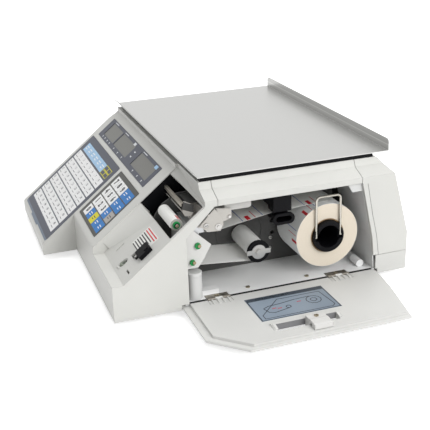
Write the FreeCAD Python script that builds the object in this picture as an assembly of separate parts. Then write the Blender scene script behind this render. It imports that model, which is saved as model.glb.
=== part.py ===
import FreeCAD, Part
import math
import os
from FreeCAD import Placement, Rotation, Vector

# Retail label-printing scale, millimetres, +Z up.
# The operator stands on the -Y side; the printer door is on the +X side and is stored open.
# Pieces are modelled with x = 0 on the middle of the body and z = 0 on the counter.

os.makedirs("parts", exist_ok=True)

# Driving dimensions
BODY_W = 406.0           # width over the side walls
WALL = 2.5               # moulded wall thickness
FOOT_H = 8.0             # counter to underside of the base
FLOOR_T = 3.0            # base floor thickness
PAN_TOP = 160.0          # counter to weighing surface
PAN_W = 382.0            # pan along x
PAN_D = 246.0            # pan along y
PAN_X = -10.0            # pan centre
PAN_FRONT_Y = -53.0
PAN_T = 1.0
PAN_LIP_H = 14.0         # rear upstand
PAN_FRONT_LIP = 6.0      # small front lip, leaning out at 45 degrees
SLOPE = 38.4             # keyboard slope, degrees
CREST_Y = -56.0          # top edge of the keyboard slope
CREST_DROP = 11.4        # weighing surface to that edge
FRONT_Y = -166.0         # front wall of the base
WING_FRONT_Y = -211.5    # front edge of the preset-key wing
WING_RIGHT_X = -20.0
KEY_BLOCK_RIGHT_X = 103.0
LEDGE_DROP = 19.5        # outlet ledge below the keyboard plane, measured vertically
SHELF_D = 13.6           # level strip along the front of the ledge
REAR_Y = 211.0
SEAM_FRONT_Y = -37.0
SEAM_REAR_Y = 146.0
DOOR_H = 122.0           # hinge line to free edge
DOOR_LIP = 5.0           # door edge lapping over the side wall
DOOR_SHIFT = 3.0         # opening set back from the middle of the door
DOOR_FRONT_Y = -84.0
DOOR_REAR_Y = 170.0
DOOR_GAP = 1.0
DOOR_SKIN = 2.5
DOOR_INNER = 3.0         # inner panel that stands into the opening
LABEL_W = 60.0
ROLL_R = 41.0            # label roll outer radius
ROLL_BORE_R = 20.5
CORE_T = 1.5
PRINTER_INSET = 81.0     # side wall to the far face of the printer chassis
CHASSIS_T = 2.5
RUN_FIT = 0.05           # radial clearance of a shaft in its hole
PAPER_T = 0.3
SEAM_GAP = 0.6           # open joint between the covers
WEB_GAP = 0.3            # paper to the roller it passes
GEAR_MODULE = 1.0
PINION_TEETH = 16
PLATEN_TEETH = 40

# Levels and planes worked out from the driving dimensions
HALF_W = BODY_W / 2
LOW = FOOT_H + FLOOR_T                # top of the base floor
BAY_FLOOR = LOW + 3.0
DECK_Z = PAN_TOP - 6.0                # top of the covers, below the pan
CREST_Z = PAN_TOP - CREST_DROP
TRAY_Z = FOOT_H + 25.0                # seam between base and rear cover
RAIL_LOW = PAN_TOP - 29.0             # top edge of the door opening
RAIL_BEND = RAIL_LOW + 7.0
TAN = math.tan(math.radians(SLOPE))
COS = math.cos(math.radians(SLOPE))
LEDGE_N = -LEDGE_DROP * COS           # ledge along the normal of the keyboard plane
HINGE_X = HALF_W - WALL               # door hinge line
HINGE_Z = BAY_FLOOR
THROUGH = 600.0                       # longer than the whole machine

# Printer stations along x, from the chassis plate outward
CHASSIS_X = HALF_W - PRINTER_INSET
CHASSIS_FACE = CHASSIS_X + CHASSIS_T
WEB_X0 = CHASSIS_FACE + 5.5
WEB_X1 = WEB_X0 + LABEL_W
PLATE_X0 = WEB_X1 + 0.5               # sheet-metal plates on the near side
PLATE_T = 1.5
PLATE_X1 = PLATE_X0 + PLATE_T
HEAD_X0 = WEB_X0 + 1.0
HEAD_X1 = WEB_X1 - 3.0
BELT_X0, BELT_X1 = CHASSIS_X - 7.0, CHASSIS_X - 2.0
GEAR_X0, GEAR_X1 = BELT_X0 - 8.0, BELT_X0 - 2.0

# Roller centres as (y, z), and their radii
PLATEN_YZ = (-60.0, BAY_FLOOR + 68.0)
PLATEN_R = 10.0
LINER_ROLLER_YZ = (PLATEN_YZ[0] - 7.0, PLATEN_YZ[1] - 20.0)
LINER_ROLLER_R = 6.0
OUTLET_ROLLER_YZ = (PLATEN_YZ[0] - 21.0, PLATEN_YZ[1] + 25.0)
OUTLET_ROLLER_R = 7.0
SPOOL_YZ = (16.6, BAY_FLOOR + 45.7)
SPOOL_R = 7.0
WRAP_R = 12.0
ROLL_YZ = (107.0, BAY_FLOOR + ROLL_R + 10.5)
HEAD_PIVOT_YZ = (PLATEN_YZ[0] + 26.4, PLATEN_YZ[1] + 19.0)
GUIDE_YZ = (48.0, BAY_FLOOR + 84.0)
SHAFT_R = 2.5
AXLE_R = 2.0
MOTOR_YZ = (PLATEN_YZ[0] + GEAR_MODULE * (PINION_TEETH + PLATEN_TEETH) / 2, PLATEN_YZ[1])

PIECES = {}


def slope_z(y):
    """Height of the keyboard plane at y."""
    return CREST_Z + (y - CREST_Y) * TAN


def ledge_z(y):
    return slope_z(y) - LEDGE_DROP


def box(x0, x1, y0, y1, z0, z1):
    return Part.makeBox(x1 - x0, y1 - y0, z1 - z0, Vector(x0, y0, z0))


def rod_x(yz, r, x0, x1):
    return Part.makeCylinder(r, x1 - x0, Vector(x0, yz[0], yz[1]), Vector(1, 0, 0))


def rod_y(x, z, r, y0, y1):
    return Part.makeCylinder(r, y1 - y0, Vector(x, y0, z), Vector(0, 1, 0))


def rod_z(x, y, r, z0, z1):
    return Part.makeCylinder(r, z1 - z0, Vector(x, y, z0), Vector(0, 0, 1))


def tube_x(yz, r_out, r_in, x0, x1):
    return rod_x(yz, r_out, x0, x1).cut(rod_x(yz, r_in, x0 - 1, x1 + 1))


def polygon_face(points):
    return Part.Face(Part.makePolygon(points + [points[0]]))


def prism_x(yz_points, x0, x1, inset=0.0):
    """Outline in y and z, pushed along x; inset shrinks the outline evenly."""
    face = polygon_face([Vector(x0, y, z) for y, z in yz_points])
    if inset:
        face = face.makeOffset2D(-inset, 2)
    return face.extrude(Vector(x1 - x0, 0, 0))


def prism_y(xz_points, y0, y1, inset=0.0):
    face = polygon_face([Vector(x, y0, z) for x, z in xz_points])
    if inset:
        face = face.makeOffset2D(-inset, 2)
    return face.extrude(Vector(0, y1 - y0, 0))


def inset_points(yz_points, amount):
    """The same outline shrunk evenly, as points."""
    face = polygon_face([Vector(0, y, z) for y, z in yz_points]).makeOffset2D(-amount, 2)
    return [(v.Point.y, v.Point.z) for v in face.OuterWire.OrderedVertexes]


def on_slope(shape):
    """Move a shape from the keyboard's own axes (x, -s down the slope, n outward) to the body."""
    shape = shape.copy()
    turn = Rotation(Vector(1, 0, 0), SLOPE)
    shape.Placement = Placement(Vector(0, CREST_Y, CREST_Z), turn).multiply(shape.Placement)
    return shape


def slope_box(x0, x1, s0, s1, n0, n1, corner=0.0):
    """Block on the keyboard slope: s runs down the slope from the crest, n stands out of it."""
    block = box(x0, x1, -s1, -s0, n0, n1)
    if corner:
        block = block.makeFillet(corner, edges_along(block, Vector(0, 0, 1)))
    return on_slope(block)


def edges_along(shape, direction):
    return [e for e in shape.Edges if abs(e.tangentAt(e.FirstParameter).dot(direction)) > 0.99]


def fuse(shapes):
    return shapes[0].multiFuse(shapes[1:]).removeSplitter()


def strip_x(path, thickness, x0, x1):
    """A sheet whose centre line is a list of (y, z) points, pushed along x."""
    left = []
    right = []
    for i, (y, z) in enumerate(path):
        before = path[max(i - 1, 0)]
        after = path[min(i + 1, len(path) - 1)]
        length = math.hypot(after[0] - before[0], after[1] - before[1])
        side_y = -(after[1] - before[1]) / length * thickness / 2
        side_z = (after[0] - before[0]) / length * thickness / 2
        left.append((y + side_y, z + side_z))
        right.append((y - side_y, z - side_z))
    return prism_x(left + right[::-1], x0, x1)


def arc_points(yz, r, start, end, steps):
    """Points on a circle about (y, z), angles in degrees from +y toward +z."""
    points = []
    for i in range(steps + 1):
        a = math.radians(start + (end - start) * i / steps)
        points.append((yz[0] + r * math.cos(a), yz[1] + r * math.sin(a)))
    return points


def screw(base, axis, head_r, head_h, shank_l):
    """Pan-head screw: the head stands on the base point, the shank runs back along the axis."""
    head = Part.makeCylinder(head_r, head_h, base, axis)
    slot = Part.makeBox(head_r * 3, head_r * 0.4, head_h, Vector(-head_r * 1.5, -head_r * 0.2, 0))
    slot.Placement = Placement(base + axis * (head_h * 0.6), Rotation(Vector(0, 0, 1), axis))
    shank = Part.makeCylinder(head_r * 0.5, shank_l, base - axis * shank_l, axis)
    return head.cut(slot).fuse(shank).removeSplitter()


def gear_x(yz, teeth, x0, x1, bore_r, phase):
    """Spur gear with straight-sided teeth and some backlash, its axis along x."""
    pitch_r = teeth * GEAR_MODULE / 2
    tip_r = pitch_r + 0.85 * GEAR_MODULE
    root_r = pitch_r - 1.25 * GEAR_MODULE
    step = 360.0 / teeth
    tooth = [(root_r, -0.36), (pitch_r, -0.225), (tip_r, -0.09),
             (tip_r, 0.09), (pitch_r, 0.225), (root_r, 0.36)]
    outline = []
    for i in range(teeth):
        for r, part_of_step in tooth:
            angle = math.radians(phase + (i + part_of_step) * step)
            outline.append((yz[0] + r * math.cos(angle), yz[1] + r * math.sin(angle)))
    return prism_x(outline, x0, x1).cut(rod_x(yz, bore_r, x0 - 1, x1 + 1))


def keep(name, shape):
    PIECES[name] = shape


# Door outline when shut, as (y, height above the hinge line)
DOOR_OUTLINE = [(DOOR_FRONT_Y, DOOR_GAP), (DOOR_FRONT_Y, DOOR_H - 37), (DOOR_FRONT_Y + 38, DOOR_H),
                (DOOR_REAR_Y - 22, DOOR_H), (DOOR_REAR_Y - 6, DOOR_H - 76), (DOOR_REAR_Y, DOOR_GAP)]
# The opening behind it is smaller by the lip, and runs down past the bay floor
OPENING_BASE = [(y, h if h > DOOR_LIP else -3 * DOOR_LIP) for y, h in DOOR_OUTLINE]
OPENING = [(y + DOOR_SHIFT, HINGE_Z + h) for y, h in inset_points(OPENING_BASE, DOOR_LIP)]
DOOR_OPENING = prism_x(OPENING, HALF_W - 12, HALF_W + 12)

# Base tray with bosses for the levelling feet
FOOT_PLACES = [("front_left", -HALF_W + 32, FRONT_Y + 30), ("front_right", HALF_W - 32, FRONT_Y + 30),
               ("rear_left", -HALF_W + 32, REAR_Y - 32), ("rear_right", HALF_W - 32, REAR_Y - 32)]
FOOT_THREAD_R = 4.0
FOOT_BOSS_R = 8.0
FOOT_BOSS_TOP = LOW + 10.0
FOOT_PAD_R = 15.0
FOOT_PAD_H = FOOT_H - 2.0


def build_base_tray():
    tray = [box(-HALF_W, HALF_W, FRONT_Y, REAR_Y, FOOT_H, LOW),
            box(-HALF_W, -HALF_W + WALL, SEAM_FRONT_Y, REAR_Y, LOW, TRAY_Z),
            box(-HALF_W, HALF_W, REAR_Y - WALL, REAR_Y, LOW, TRAY_Z),
            box(HALF_W - WALL, HALF_W, DOOR_REAR_Y + DOOR_SHIFT - DOOR_LIP, REAR_Y, LOW, TRAY_Z)]
    tools = []
    for _, x, y in FOOT_PLACES:
        tray.append(rod_z(x, y, FOOT_BOSS_R, LOW, FOOT_BOSS_TOP))
        tools.append(rod_z(x, y, FOOT_THREAD_R + RUN_FIT, FOOT_H - 1, FOOT_BOSS_TOP + 1))
    # The open door lies beside the sill
    tools.append(box(HINGE_X - 0.5, THROUGH, DOOR_FRONT_Y - DOOR_GAP, DOOR_REAR_Y + DOOR_GAP,
                     0, HINGE_Z + 0.5))
    vent_pitch = 12.0
    for i in range(8):
        x = -60 + i * vent_pitch
        tools.append(box(x, x + vent_pitch * 0.4, 10, 70, FOOT_H - 1, LOW + 5))
    return fuse(tray).cut(tools)


def build_foot(x, y):
    pad = rod_z(x, y, FOOT_PAD_R, 0, FOOT_PAD_H)
    pad = pad.makeChamfer(1.0, [e for e in pad.Edges if e.Closed and e.CenterOfMass.z < 0.1])
    return fuse([pad, rod_z(x, y, FOOT_THREAD_R, FOOT_PAD_H, FOOT_BOSS_TOP - 1)])


keep("base_tray", build_base_tray())
for place, foot_x, foot_y in FOOT_PLACES:
    keep("foot_" + place, build_foot(foot_x, foot_y))


def cover_outline(z_low):
    """Housing section seen from the front: upright walls, then two facets up to the deck."""
    shoulder = RAIL_BEND + 8
    return [(-HALF_W, z_low), (-HALF_W, RAIL_BEND), (-HALF_W + 5, shoulder), (-HALF_W + 5, DECK_Z),
            (HALF_W - 23, DECK_Z), (HALF_W - 19, shoulder), (HALF_W, RAIL_BEND), (HALF_W, z_low)]


# Front housing: preset-key wing, number-key block and outlet ledge
SHELF_Z = ledge_z(FRONT_Y + SHELF_D)
WING_LOW = FOOT_H + 1.0
LEDGE_TOP_Y = CREST_Y + 3.5
OUTLET_S0, OUTLET_S1 = 9.0, 61.0
OUTLET_X0, OUTLET_X1 = KEY_BLOCK_RIGHT_X + 0.7, HALF_W - 4.0
DISPLAY_X0, DISPLAY_X1, DISPLAY_S0, DISPLAY_S1 = -HALF_W + 21, WING_RIGHT_X + 97, 12.0, 46.0
PRESET_X0, PRESET_X1, PRESET_S0, PRESET_S1 = -HALF_W + 9, WING_RIGHT_X - 1, 53.0, 191.0
NUMBER_X0, NUMBER_X1, NUMBER_S0, NUMBER_S1 = WING_RIGHT_X + 8.5, WING_RIGHT_X + 103.5, 54.0, 132.0
POCKET = 1.0             # depth of the pockets the key films lie in
FILM_OUT = 0.3
FILM_GAP = 0.2
LCD_WINDOWS = ((DISPLAY_X0 + 16, DISPLAY_X0 + 71.5), (DISPLAY_X0 + 75, DISPLAY_X0 + 144.5),
               (DISPLAY_X1 - 85, DISPLAY_X1 - 11))
LCD_S0, LCD_S1 = DISPLAY_S0 + 5.0, DISPLAY_S1 - 7.0
LEVEL_X, LEVEL_Y = HALF_W - 43, FRONT_Y + 25.0
LEVEL_R = 5.0
LEVEL_TOP = ledge_z(LEVEL_Y - LEVEL_R) - 0.5
LEVEL_H = 8.0
SENSOR_X0, SENSOR_X1, SENSOR_S0, SENSOR_S1 = HALF_W - 32, HALF_W - 14, 84.0, 102.0
CHUTE_TOP_S, CHUTE_END_S = -4.0, OUTLET_S1 + 66
CHUTE_TOP_W = HALF_W - KEY_BLOCK_RIGHT_X - 4
CHUTE_W = 34.0           # at the lower edge of the outlet


def front_sections(rear_y, low, inset):
    """Key block, wing and ledge as one solid; inset makes the hollow inside it."""
    top = [(rear_y, low), (rear_y, DECK_Z), (CREST_Y, DECK_Z), (CREST_Y, CREST_Z)]
    block = top + [(FRONT_Y, slope_z(FRONT_Y)), (FRONT_Y, low)]
    wing = top + [(WING_FRONT_Y, slope_z(WING_FRONT_Y)), (WING_FRONT_Y, WING_LOW),
                  (FRONT_Y, WING_LOW), (FRONT_Y, low)]
    ledge = [(rear_y, low), (rear_y, DECK_Z), (LEDGE_TOP_Y, DECK_Z), (LEDGE_TOP_Y, ledge_z(LEDGE_TOP_Y)),
             (FRONT_Y + SHELF_D, SHELF_Z), (FRONT_Y, SHELF_Z), (FRONT_Y, low)]
    left = -HALF_W + inset
    return fuse([prism_x(block, left, KEY_BLOCK_RIGHT_X - inset, inset),
                 prism_x(wing, left, WING_RIGHT_X - inset, inset),
                 prism_x(ledge, left, HALF_W - inset, inset)])


def round_front_edges(solid):
    """Round the front top edges of the wing and of the number-key block."""
    edges = []
    for e in edges_along(solid, Vector(1, 0, 0)):
        middle = e.CenterOfMass
        on_wing = abs(middle.y - WING_FRONT_Y) < 0.1 and middle.z > WING_LOW + 1
        on_block = abs(middle.y - FRONT_Y) < 0.1 and middle.z > SHELF_Z + 1 and middle.x > WING_RIGHT_X
        if on_wing or on_block:
            edges.append(e)
    return solid.makeFillet(5.0, edges)


def chute():
    """Twisted ramp round the outlet that falls from the key block to the ledge."""
    start_x = KEY_BLOCK_RIGHT_X - 1
    wires = []
    for s, width in ((CHUTE_TOP_S, CHUTE_TOP_W), (OUTLET_S1, CHUTE_W), (CHUTE_END_S, 3.0)):
        corners = [Vector(start_x, -s, -1), Vector(start_x + 1 + width, -s, LEDGE_N),
                   Vector(start_x, -s, LEDGE_N)]
        wires.append(Part.makePolygon(corners + [corners[0]]))
    ramp = on_slope(Part.makeLoft(wires, True, True))
    return ramp.common(box(0, HALF_W, -THROUGH, LEDGE_TOP_Y + WALL, 0, DECK_Z))


def build_front_housing():
    rear_y = SEAM_FRONT_Y - SEAM_GAP / 2
    envelope = prism_y(cover_outline(0), WING_FRONT_Y - 10, rear_y)
    outer = round_front_edges(front_sections(rear_y, LOW, 0).common(envelope).removeSplitter())
    hollow_envelope = prism_y(cover_outline(-20), WING_FRONT_Y, SEAM_FRONT_Y + 20, WALL)
    hollow = front_sections(SEAM_FRONT_Y + 10, LOW - 20, WALL).common(hollow_envelope)
    level_cup = rod_z(LEVEL_X, LEVEL_Y, LEVEL_R + 3, LEVEL_TOP - LEVEL_H - 2, LEVEL_TOP)
    shell = fuse([outer.cut(hollow), chute(), level_cup])
    tools = [
        slope_box(OUTLET_X0, OUTLET_X1, OUTLET_S0, OUTLET_S1, LEDGE_N - 12, WALL, 2.0),
        slope_box(DISPLAY_X0, DISPLAY_X1, DISPLAY_S0, DISPLAY_S1, -POCKET, 5, 2.0),
        slope_box(PRESET_X0, PRESET_X1, PRESET_S0, PRESET_S1, -POCKET, 5, 2.0),
        slope_box(NUMBER_X0, NUMBER_X1, NUMBER_S0, NUMBER_S1, -POCKET, 5, 2.0),
        slope_box(DISPLAY_X0 + 6, DISPLAY_X1 - 6, LCD_S0 - 1, LCD_S1 + 1, -WALL - 2, 0),
        rod_z(LEVEL_X, LEVEL_Y, LEVEL_R + FILM_GAP, LEVEL_TOP - LEVEL_H, LEVEL_TOP + 40),
        slope_box(SENSOR_X0 - 10, SENSOR_X0 + 1, SENSOR_S1 + 0.5, SENSOR_S1 + 6.5, LEDGE_N - 6, 0),
        slope_box(KEY_BLOCK_RIGHT_X + 19, KEY_BLOCK_RIGHT_X + 22, 108, 122, LEDGE_N - 1, 0, 1.4),
        slope_box(SENSOR_X1 - 9, SENSOR_X1 + 1, SENSOR_S1 + 19, SENSOR_S1 + 21.5, LEDGE_N - 6, 0),
        DOOR_OPENING,
        # The lip of the open door passes below the side wall
        box(HINGE_X - 0.5, HALF_W + 1, DOOR_FRONT_Y - DOOR_GAP, SEAM_FRONT_Y, 0, HINGE_Z + 0.5),
    ]
    return shell.cut(tools)


keep("front_housing", build_front_housing())
keep("spirit_level", rod_z(LEVEL_X, LEVEL_Y, LEVEL_R, LEVEL_TOP - LEVEL_H, LEVEL_TOP))
keep("label_taken_sensor", slope_box(SENSOR_X0, SENSOR_X1, SENSOR_S0, SENSOR_S1,
                                     LEDGE_N, LEDGE_N + 5, 1.5))

# Middle and rear covers
POST_X, POST_Y = PAN_X, PAN_FRONT_Y + PAN_D / 2
POST_R = 15.0
INLET_Z0, INLET_Z1 = TRAY_Z + 4.0, TRAY_Z + 24.0
INLET_X0, INLET_X1 = -HALF_W + 53, -HALF_W + 81
SWITCH_X0, SWITCH_X1 = INLET_X1 + 14, INLET_X1 + 35
REAR_KINK_Z = TRAY_Z + 25.0
REAR_DECK_Y = REAR_Y - 34.0


def build_top_cover():
    outer = prism_y(cover_outline(TRAY_Z), SEAM_FRONT_Y + SEAM_GAP / 2, SEAM_REAR_Y - SEAM_GAP / 2)
    hollow = prism_y(cover_outline(TRAY_Z - 20), SEAM_FRONT_Y - 5, SEAM_REAR_Y + 5, WALL)
    ribs = [box(x, x + 2, SEAM_FRONT_Y + 4, SEAM_REAR_Y - 4, DECK_Z - 8, DECK_Z - 1) for x in (-120, -60, 60)]
    tools = [box(HALF_W - 12, HALF_W + 1, SEAM_FRONT_Y - 1, SEAM_REAR_Y + 1, 0, RAIL_LOW),
             rod_z(POST_X, POST_Y, POST_R + 9, DECK_Z - 30, DECK_Z + 5)]
    return fuse([outer.cut(hollow)] + ribs).cut(tools)


def rear_outline(front_y, low):
    return [(front_y, low), (front_y, DECK_Z), (REAR_DECK_Y, DECK_Z), (REAR_Y - 21, RAIL_BEND),
            (REAR_Y, REAR_KINK_Z), (REAR_Y, low)]


def build_rear_cover():
    envelope = prism_y(cover_outline(0), SEAM_REAR_Y - 5, REAR_Y + 5)
    outer = prism_x(rear_outline(SEAM_REAR_Y + SEAM_GAP / 2, TRAY_Z), -HALF_W, HALF_W).common(envelope)
    top_edge = [e for e in edges_along(outer, Vector(1, 0, 0))
                if abs(e.CenterOfMass.y - REAR_DECK_Y) < 0.1 and abs(e.CenterOfMass.z - DECK_Z) < 0.1]
    outer = outer.makeFillet(8.0, top_edge)
    hollow_envelope = prism_y(cover_outline(-20), SEAM_REAR_Y - 20, REAR_Y, WALL)
    hollow = prism_x(rear_outline(SEAM_REAR_Y - 20, TRAY_Z - 20), -HALF_W, HALF_W, WALL)
    hollow = hollow.common(hollow_envelope)
    seam = box(-THROUGH, THROUGH, -THROUGH, THROUGH, TRAY_Z - 1, TRAY_Z + SEAM_GAP)
    seam = seam.cut(box(-HALF_W + 1, HALF_W - 1, -THROUGH, REAR_Y - 1, TRAY_Z - 2, TRAY_Z + 2))
    tools = [hollow, DOOR_OPENING, seam,
             box(INLET_X0, INLET_X1, REAR_Y - 10, REAR_Y + 5, INLET_Z0, INLET_Z1),
             box(SWITCH_X0, SWITCH_X1, REAR_Y - 10, REAR_Y + 5, INLET_Z0 + 2, INLET_Z1 - 2)]
    vent_pitch = 12.0
    for i in range(12):
        x = -40 + i * vent_pitch
        tools.append(box(x, x + vent_pitch * 0.4, REAR_Y - 15, REAR_Y + 5, TRAY_Z + 6, TRAY_Z + 20))
    return outer.cut(tools)


keep("top_cover", build_top_cover())
keep("rear_cover", build_rear_cover())

# Printer bay floor, its hinges and screws
BAY_FRONT_Y = DOOR_FRONT_Y + 4.0
BAY_REAR_Y = DOOR_REAR_Y - 2.0
FLOOR_SCREWS = [(HINGE_X - 13, 3.0), (HINGE_X - 13, 81.0)]
HINGE_STARTS = (DOOR_FRONT_Y + 31, DOOR_REAR_Y - 66)
HINGE_LEN = 28.0
LEAF_T = 1.2
LEAF_W = 12.0
KNUCKLE_R = 2.0
HINGE_PIN_R = 1.0
KNUCKLE_GAP = 0.2


def build_bay_floor():
    plate = box(CHASSIS_FACE, HINGE_X - 0.5, BAY_FRONT_Y, BAY_REAR_Y, LOW, BAY_FLOOR)
    boss = rod_z(HINGE_X - 12, BAY_FRONT_Y + 13, 6.5, BAY_FLOOR - 1, BAY_FLOOR + 34)
    block = box(HINGE_X - 26, HINGE_X - 14, BAY_FRONT_Y + 20, BAY_FRONT_Y + 46, BAY_FLOOR - 1, BAY_FLOOR + 5)
    rib = box(CHASSIS_FACE, HINGE_X - 20, BAY_REAR_Y - 12, BAY_REAR_Y - 10, BAY_FLOOR - 1, BAY_FLOOR + 6)
    peg = rod_x((BAY_REAR_Y - 14, BAY_FLOOR + 4.5), 5, HINGE_X - 30, HINGE_X - 12)
    tools = [rod_z(x, y, 1.3, LOW - 1, BAY_FLOOR + 1) for x, y in FLOOR_SCREWS]
    for y in HINGE_STARTS:
        y0, y1 = y - 0.5, y + HINGE_LEN + 0.5
        tools.append(box(HINGE_X - LEAF_W - 0.5, HINGE_X, y0, y1, BAY_FLOOR - LEAF_T, BAY_FLOOR + 5))
        tools.append(box(HINGE_X - KNUCKLE_R - 0.5, HINGE_X, y0, y1, BAY_FLOOR - KNUCKLE_R - 0.5, BAY_FLOOR))
        tools.append(rod_z(HINGE_X - 7, y + HINGE_LEN / 2, 1.3, LOW - 1, BAY_FLOOR))
    return fuse([plate, boss, block, rib, peg]).cut(tools)


def knuckle(y0, y1):
    return rod_y(HINGE_X, HINGE_Z, KNUCKLE_R, y0, y1)


def base_leaf(y):
    """Leaf screwed to the bay floor; it carries the two outer knuckles and the pin."""
    third = HINGE_LEN / 3
    leaf = [box(HINGE_X - LEAF_W, HINGE_X - KNUCKLE_R - 0.4, y, y + HINGE_LEN,
                BAY_FLOOR - LEAF_T, BAY_FLOOR)]
    for start in (y, y + 2 * third):
        leaf.append(box(HINGE_X - KNUCKLE_R - 1, HINGE_X, start, start + third,
                        BAY_FLOOR - LEAF_T, BAY_FLOOR))
        leaf.append(knuckle(start, start + third))
    leaf.append(rod_y(HINGE_X, HINGE_Z, HINGE_PIN_R, y, y + HINGE_LEN))
    return fuse(leaf).cut(rod_z(HINGE_X - 7, y + HINGE_LEN / 2, 1.3, LOW, BAY_FLOOR + 1))


def door_leaf(y):
    """Leaf let into the shut door; it carries the middle knuckle, which turns on the pin."""
    third = HINGE_LEN / 3
    y0, y1 = y + third + KNUCKLE_GAP, y + 2 * third - KNUCKLE_GAP
    leaf = fuse([box(HINGE_X, HINGE_X + LEAF_T, y, y + HINGE_LEN, HINGE_Z + KNUCKLE_R + 0.4, HINGE_Z + LEAF_W),
                 box(HINGE_X, HINGE_X + LEAF_T, y0, y1, HINGE_Z, HINGE_Z + KNUCKLE_R + 1),
                 knuckle(y0, y1)])
    return leaf.cut(rod_y(HINGE_X, HINGE_Z, HINGE_PIN_R + RUN_FIT, y - 1, y + HINGE_LEN + 1))


keep("bay_floor", build_bay_floor())
keep("hinge_base_leaves", Part.makeCompound([base_leaf(y) for y in HINGE_STARTS]))
UP = Vector(0, 0, 1)
keep("floor_screws", Part.makeCompound(
    [screw(Vector(x, y, BAY_FLOOR), UP, 2.6, 1.2, 2.8) for x, y in FLOOR_SCREWS]
    + [screw(Vector(HINGE_X - 7, y + HINGE_LEN / 2, BAY_FLOOR), UP, 2.6, 1.2, 2.8) for y in HINGE_STARTS]))


def build_bay_rear_wall():
    path = [(BAY_REAR_Y - 1, BAY_FLOOR), (BAY_REAR_Y - 1, BAY_FLOOR + 2),
            (BAY_REAR_Y - 5, HINGE_Z + DOOR_H - 76), (BAY_REAR_Y - 21, RAIL_LOW)]
    top_y = path[-1][0]
    gusset = prism_x([(top_y + 0.5, RAIL_LOW - 0.5), (top_y - 18, RAIL_LOW - 0.5), (top_y - 12, RAIL_LOW - 11),
                      (top_y + 2.0, RAIL_LOW - 11)], HINGE_X - 5, HINGE_X - 1)
    return fuse([strip_x(path, 2.0, CHASSIS_FACE, HINGE_X - 1), gusset])


keep("bay_rear_wall", build_bay_rear_wall())

# Chassis plate, with the motor studs and the perch of the head spring
MOTOR_R = 21.0
MOTOR_L = 30.0
MOTOR_EAR = 26.0         # motor axis to each of its two fixing studs
STUD_R = 2.5
MOTOR_SHAFT_R = 2.5
MOTOR_FACE = GEAR_X0 - 3.0
SPRING_X, SPRING_Y = WEB_X0 + 20, PLATEN_YZ[0] + 7
PERCH_Z = HEAD_PIVOT_YZ[1] + 20.0
ARM_PLATE_Z = HEAD_PIVOT_YZ[1] + 2.0   # underside of the plate that holds the head


def build_chassis():
    front_y = OUTLET_ROLLER_YZ[0] - 14
    rear_y = BAY_REAR_Y - 26
    step_y = LEDGE_TOP_Y + WALL + 1.5
    under_deck = DECK_Z - WALL - 1
    outline = [(front_y, LOW), (front_y, ledge_z(front_y) - 2 * WALL),
               (OUTLET_ROLLER_YZ[0] - 6, OUTLET_ROLLER_YZ[1] - 2),
               (OUTLET_ROLLER_YZ[0], OUTLET_ROLLER_YZ[1] + 6),
               (CREST_Y - 6, RAIL_LOW - 7), (step_y, RAIL_LOW - 6), (step_y, under_deck), (rear_y, under_deck),
               (rear_y + 10, LOW)]
    foot = box(CHASSIS_X - 12, CHASSIS_X + 1, front_y + 10, rear_y, LOW, LOW + CHASSIS_T)
    ring = tube_x(SPOOL_YZ, 31, 29.5, CHASSIS_FACE - 0.5, CHASSIS_FACE + 0.8)
    perch = box(CHASSIS_FACE - 1, SPRING_X + 6, SPRING_Y - 6, SPRING_Y + 6, PERCH_Z, PERCH_Z + PLATE_T)
    parts = [prism_x(outline, CHASSIS_X, CHASSIS_FACE), foot, ring, perch]
    for dz in (-MOTOR_EAR, MOTOR_EAR):
        parts.append(rod_x((MOTOR_YZ[0], MOTOR_YZ[1] + dz), STUD_R, MOTOR_FACE, CHASSIS_X + 1))
    holes = [(PLATEN_YZ, SHAFT_R), (SPOOL_YZ, SHAFT_R), (LINER_ROLLER_YZ, AXLE_R),
             (OUTLET_ROLLER_YZ, AXLE_R), (HEAD_PIVOT_YZ, AXLE_R)]
    holes += [((SPOOL_YZ[0] + 45, SPOOL_YZ[1] + dz), STUD_R) for dz in (-8, 8)]
    tools = [rod_x(yz, r + RUN_FIT, CHASSIS_X - 2, CHASSIS_FACE + 2) for yz, r in holes]
    return fuse(parts).cut(tools)


def build_motor():
    """Round stepper with an ear above and below, held on the chassis studs."""
    y, z = MOTOR_YZ
    parts = [rod_x(MOTOR_YZ, MOTOR_R, MOTOR_FACE - MOTOR_L, MOTOR_FACE),
             rod_x(MOTOR_YZ, MOTOR_SHAFT_R + 3, MOTOR_FACE - 1, MOTOR_FACE + 1.5),
             box(MOTOR_FACE - PLATE_T, MOTOR_FACE, y - 5, y + 5, z - MOTOR_EAR, z + MOTOR_EAR)]
    parts += [rod_x((y, z + dz), 5, MOTOR_FACE - PLATE_T, MOTOR_FACE) for dz in (-MOTOR_EAR, MOTOR_EAR)]
    return fuse(parts).cut(rod_x(MOTOR_YZ, MOTOR_SHAFT_R + RUN_FIT, MOTOR_FACE - 20, MOTOR_FACE + 5))


def build_pinion():
    teeth = gear_x(MOTOR_YZ, PINION_TEETH, GEAR_X0 + 0.5, GEAR_X1 - 0.5, 1.0, 180.0 / PINION_TEETH)
    return fuse([teeth, rod_x(MOTOR_YZ, MOTOR_SHAFT_R, MOTOR_FACE - 18, GEAR_X1)])


keep("printer_chassis", build_chassis())
keep("stepper_motor", build_motor())
keep("motor_pinion", build_pinion())

# Platen roller with its gear, and the belt to the take-up spool
PULLEY_R = 8.0
TAKE_UP_PULLEY_R = PULLEY_R * WRAP_R / PLATEN_R    # so the wound liner keeps pace with the web
BELT_GAP = 0.3
BELT_T = 1.2


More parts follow.
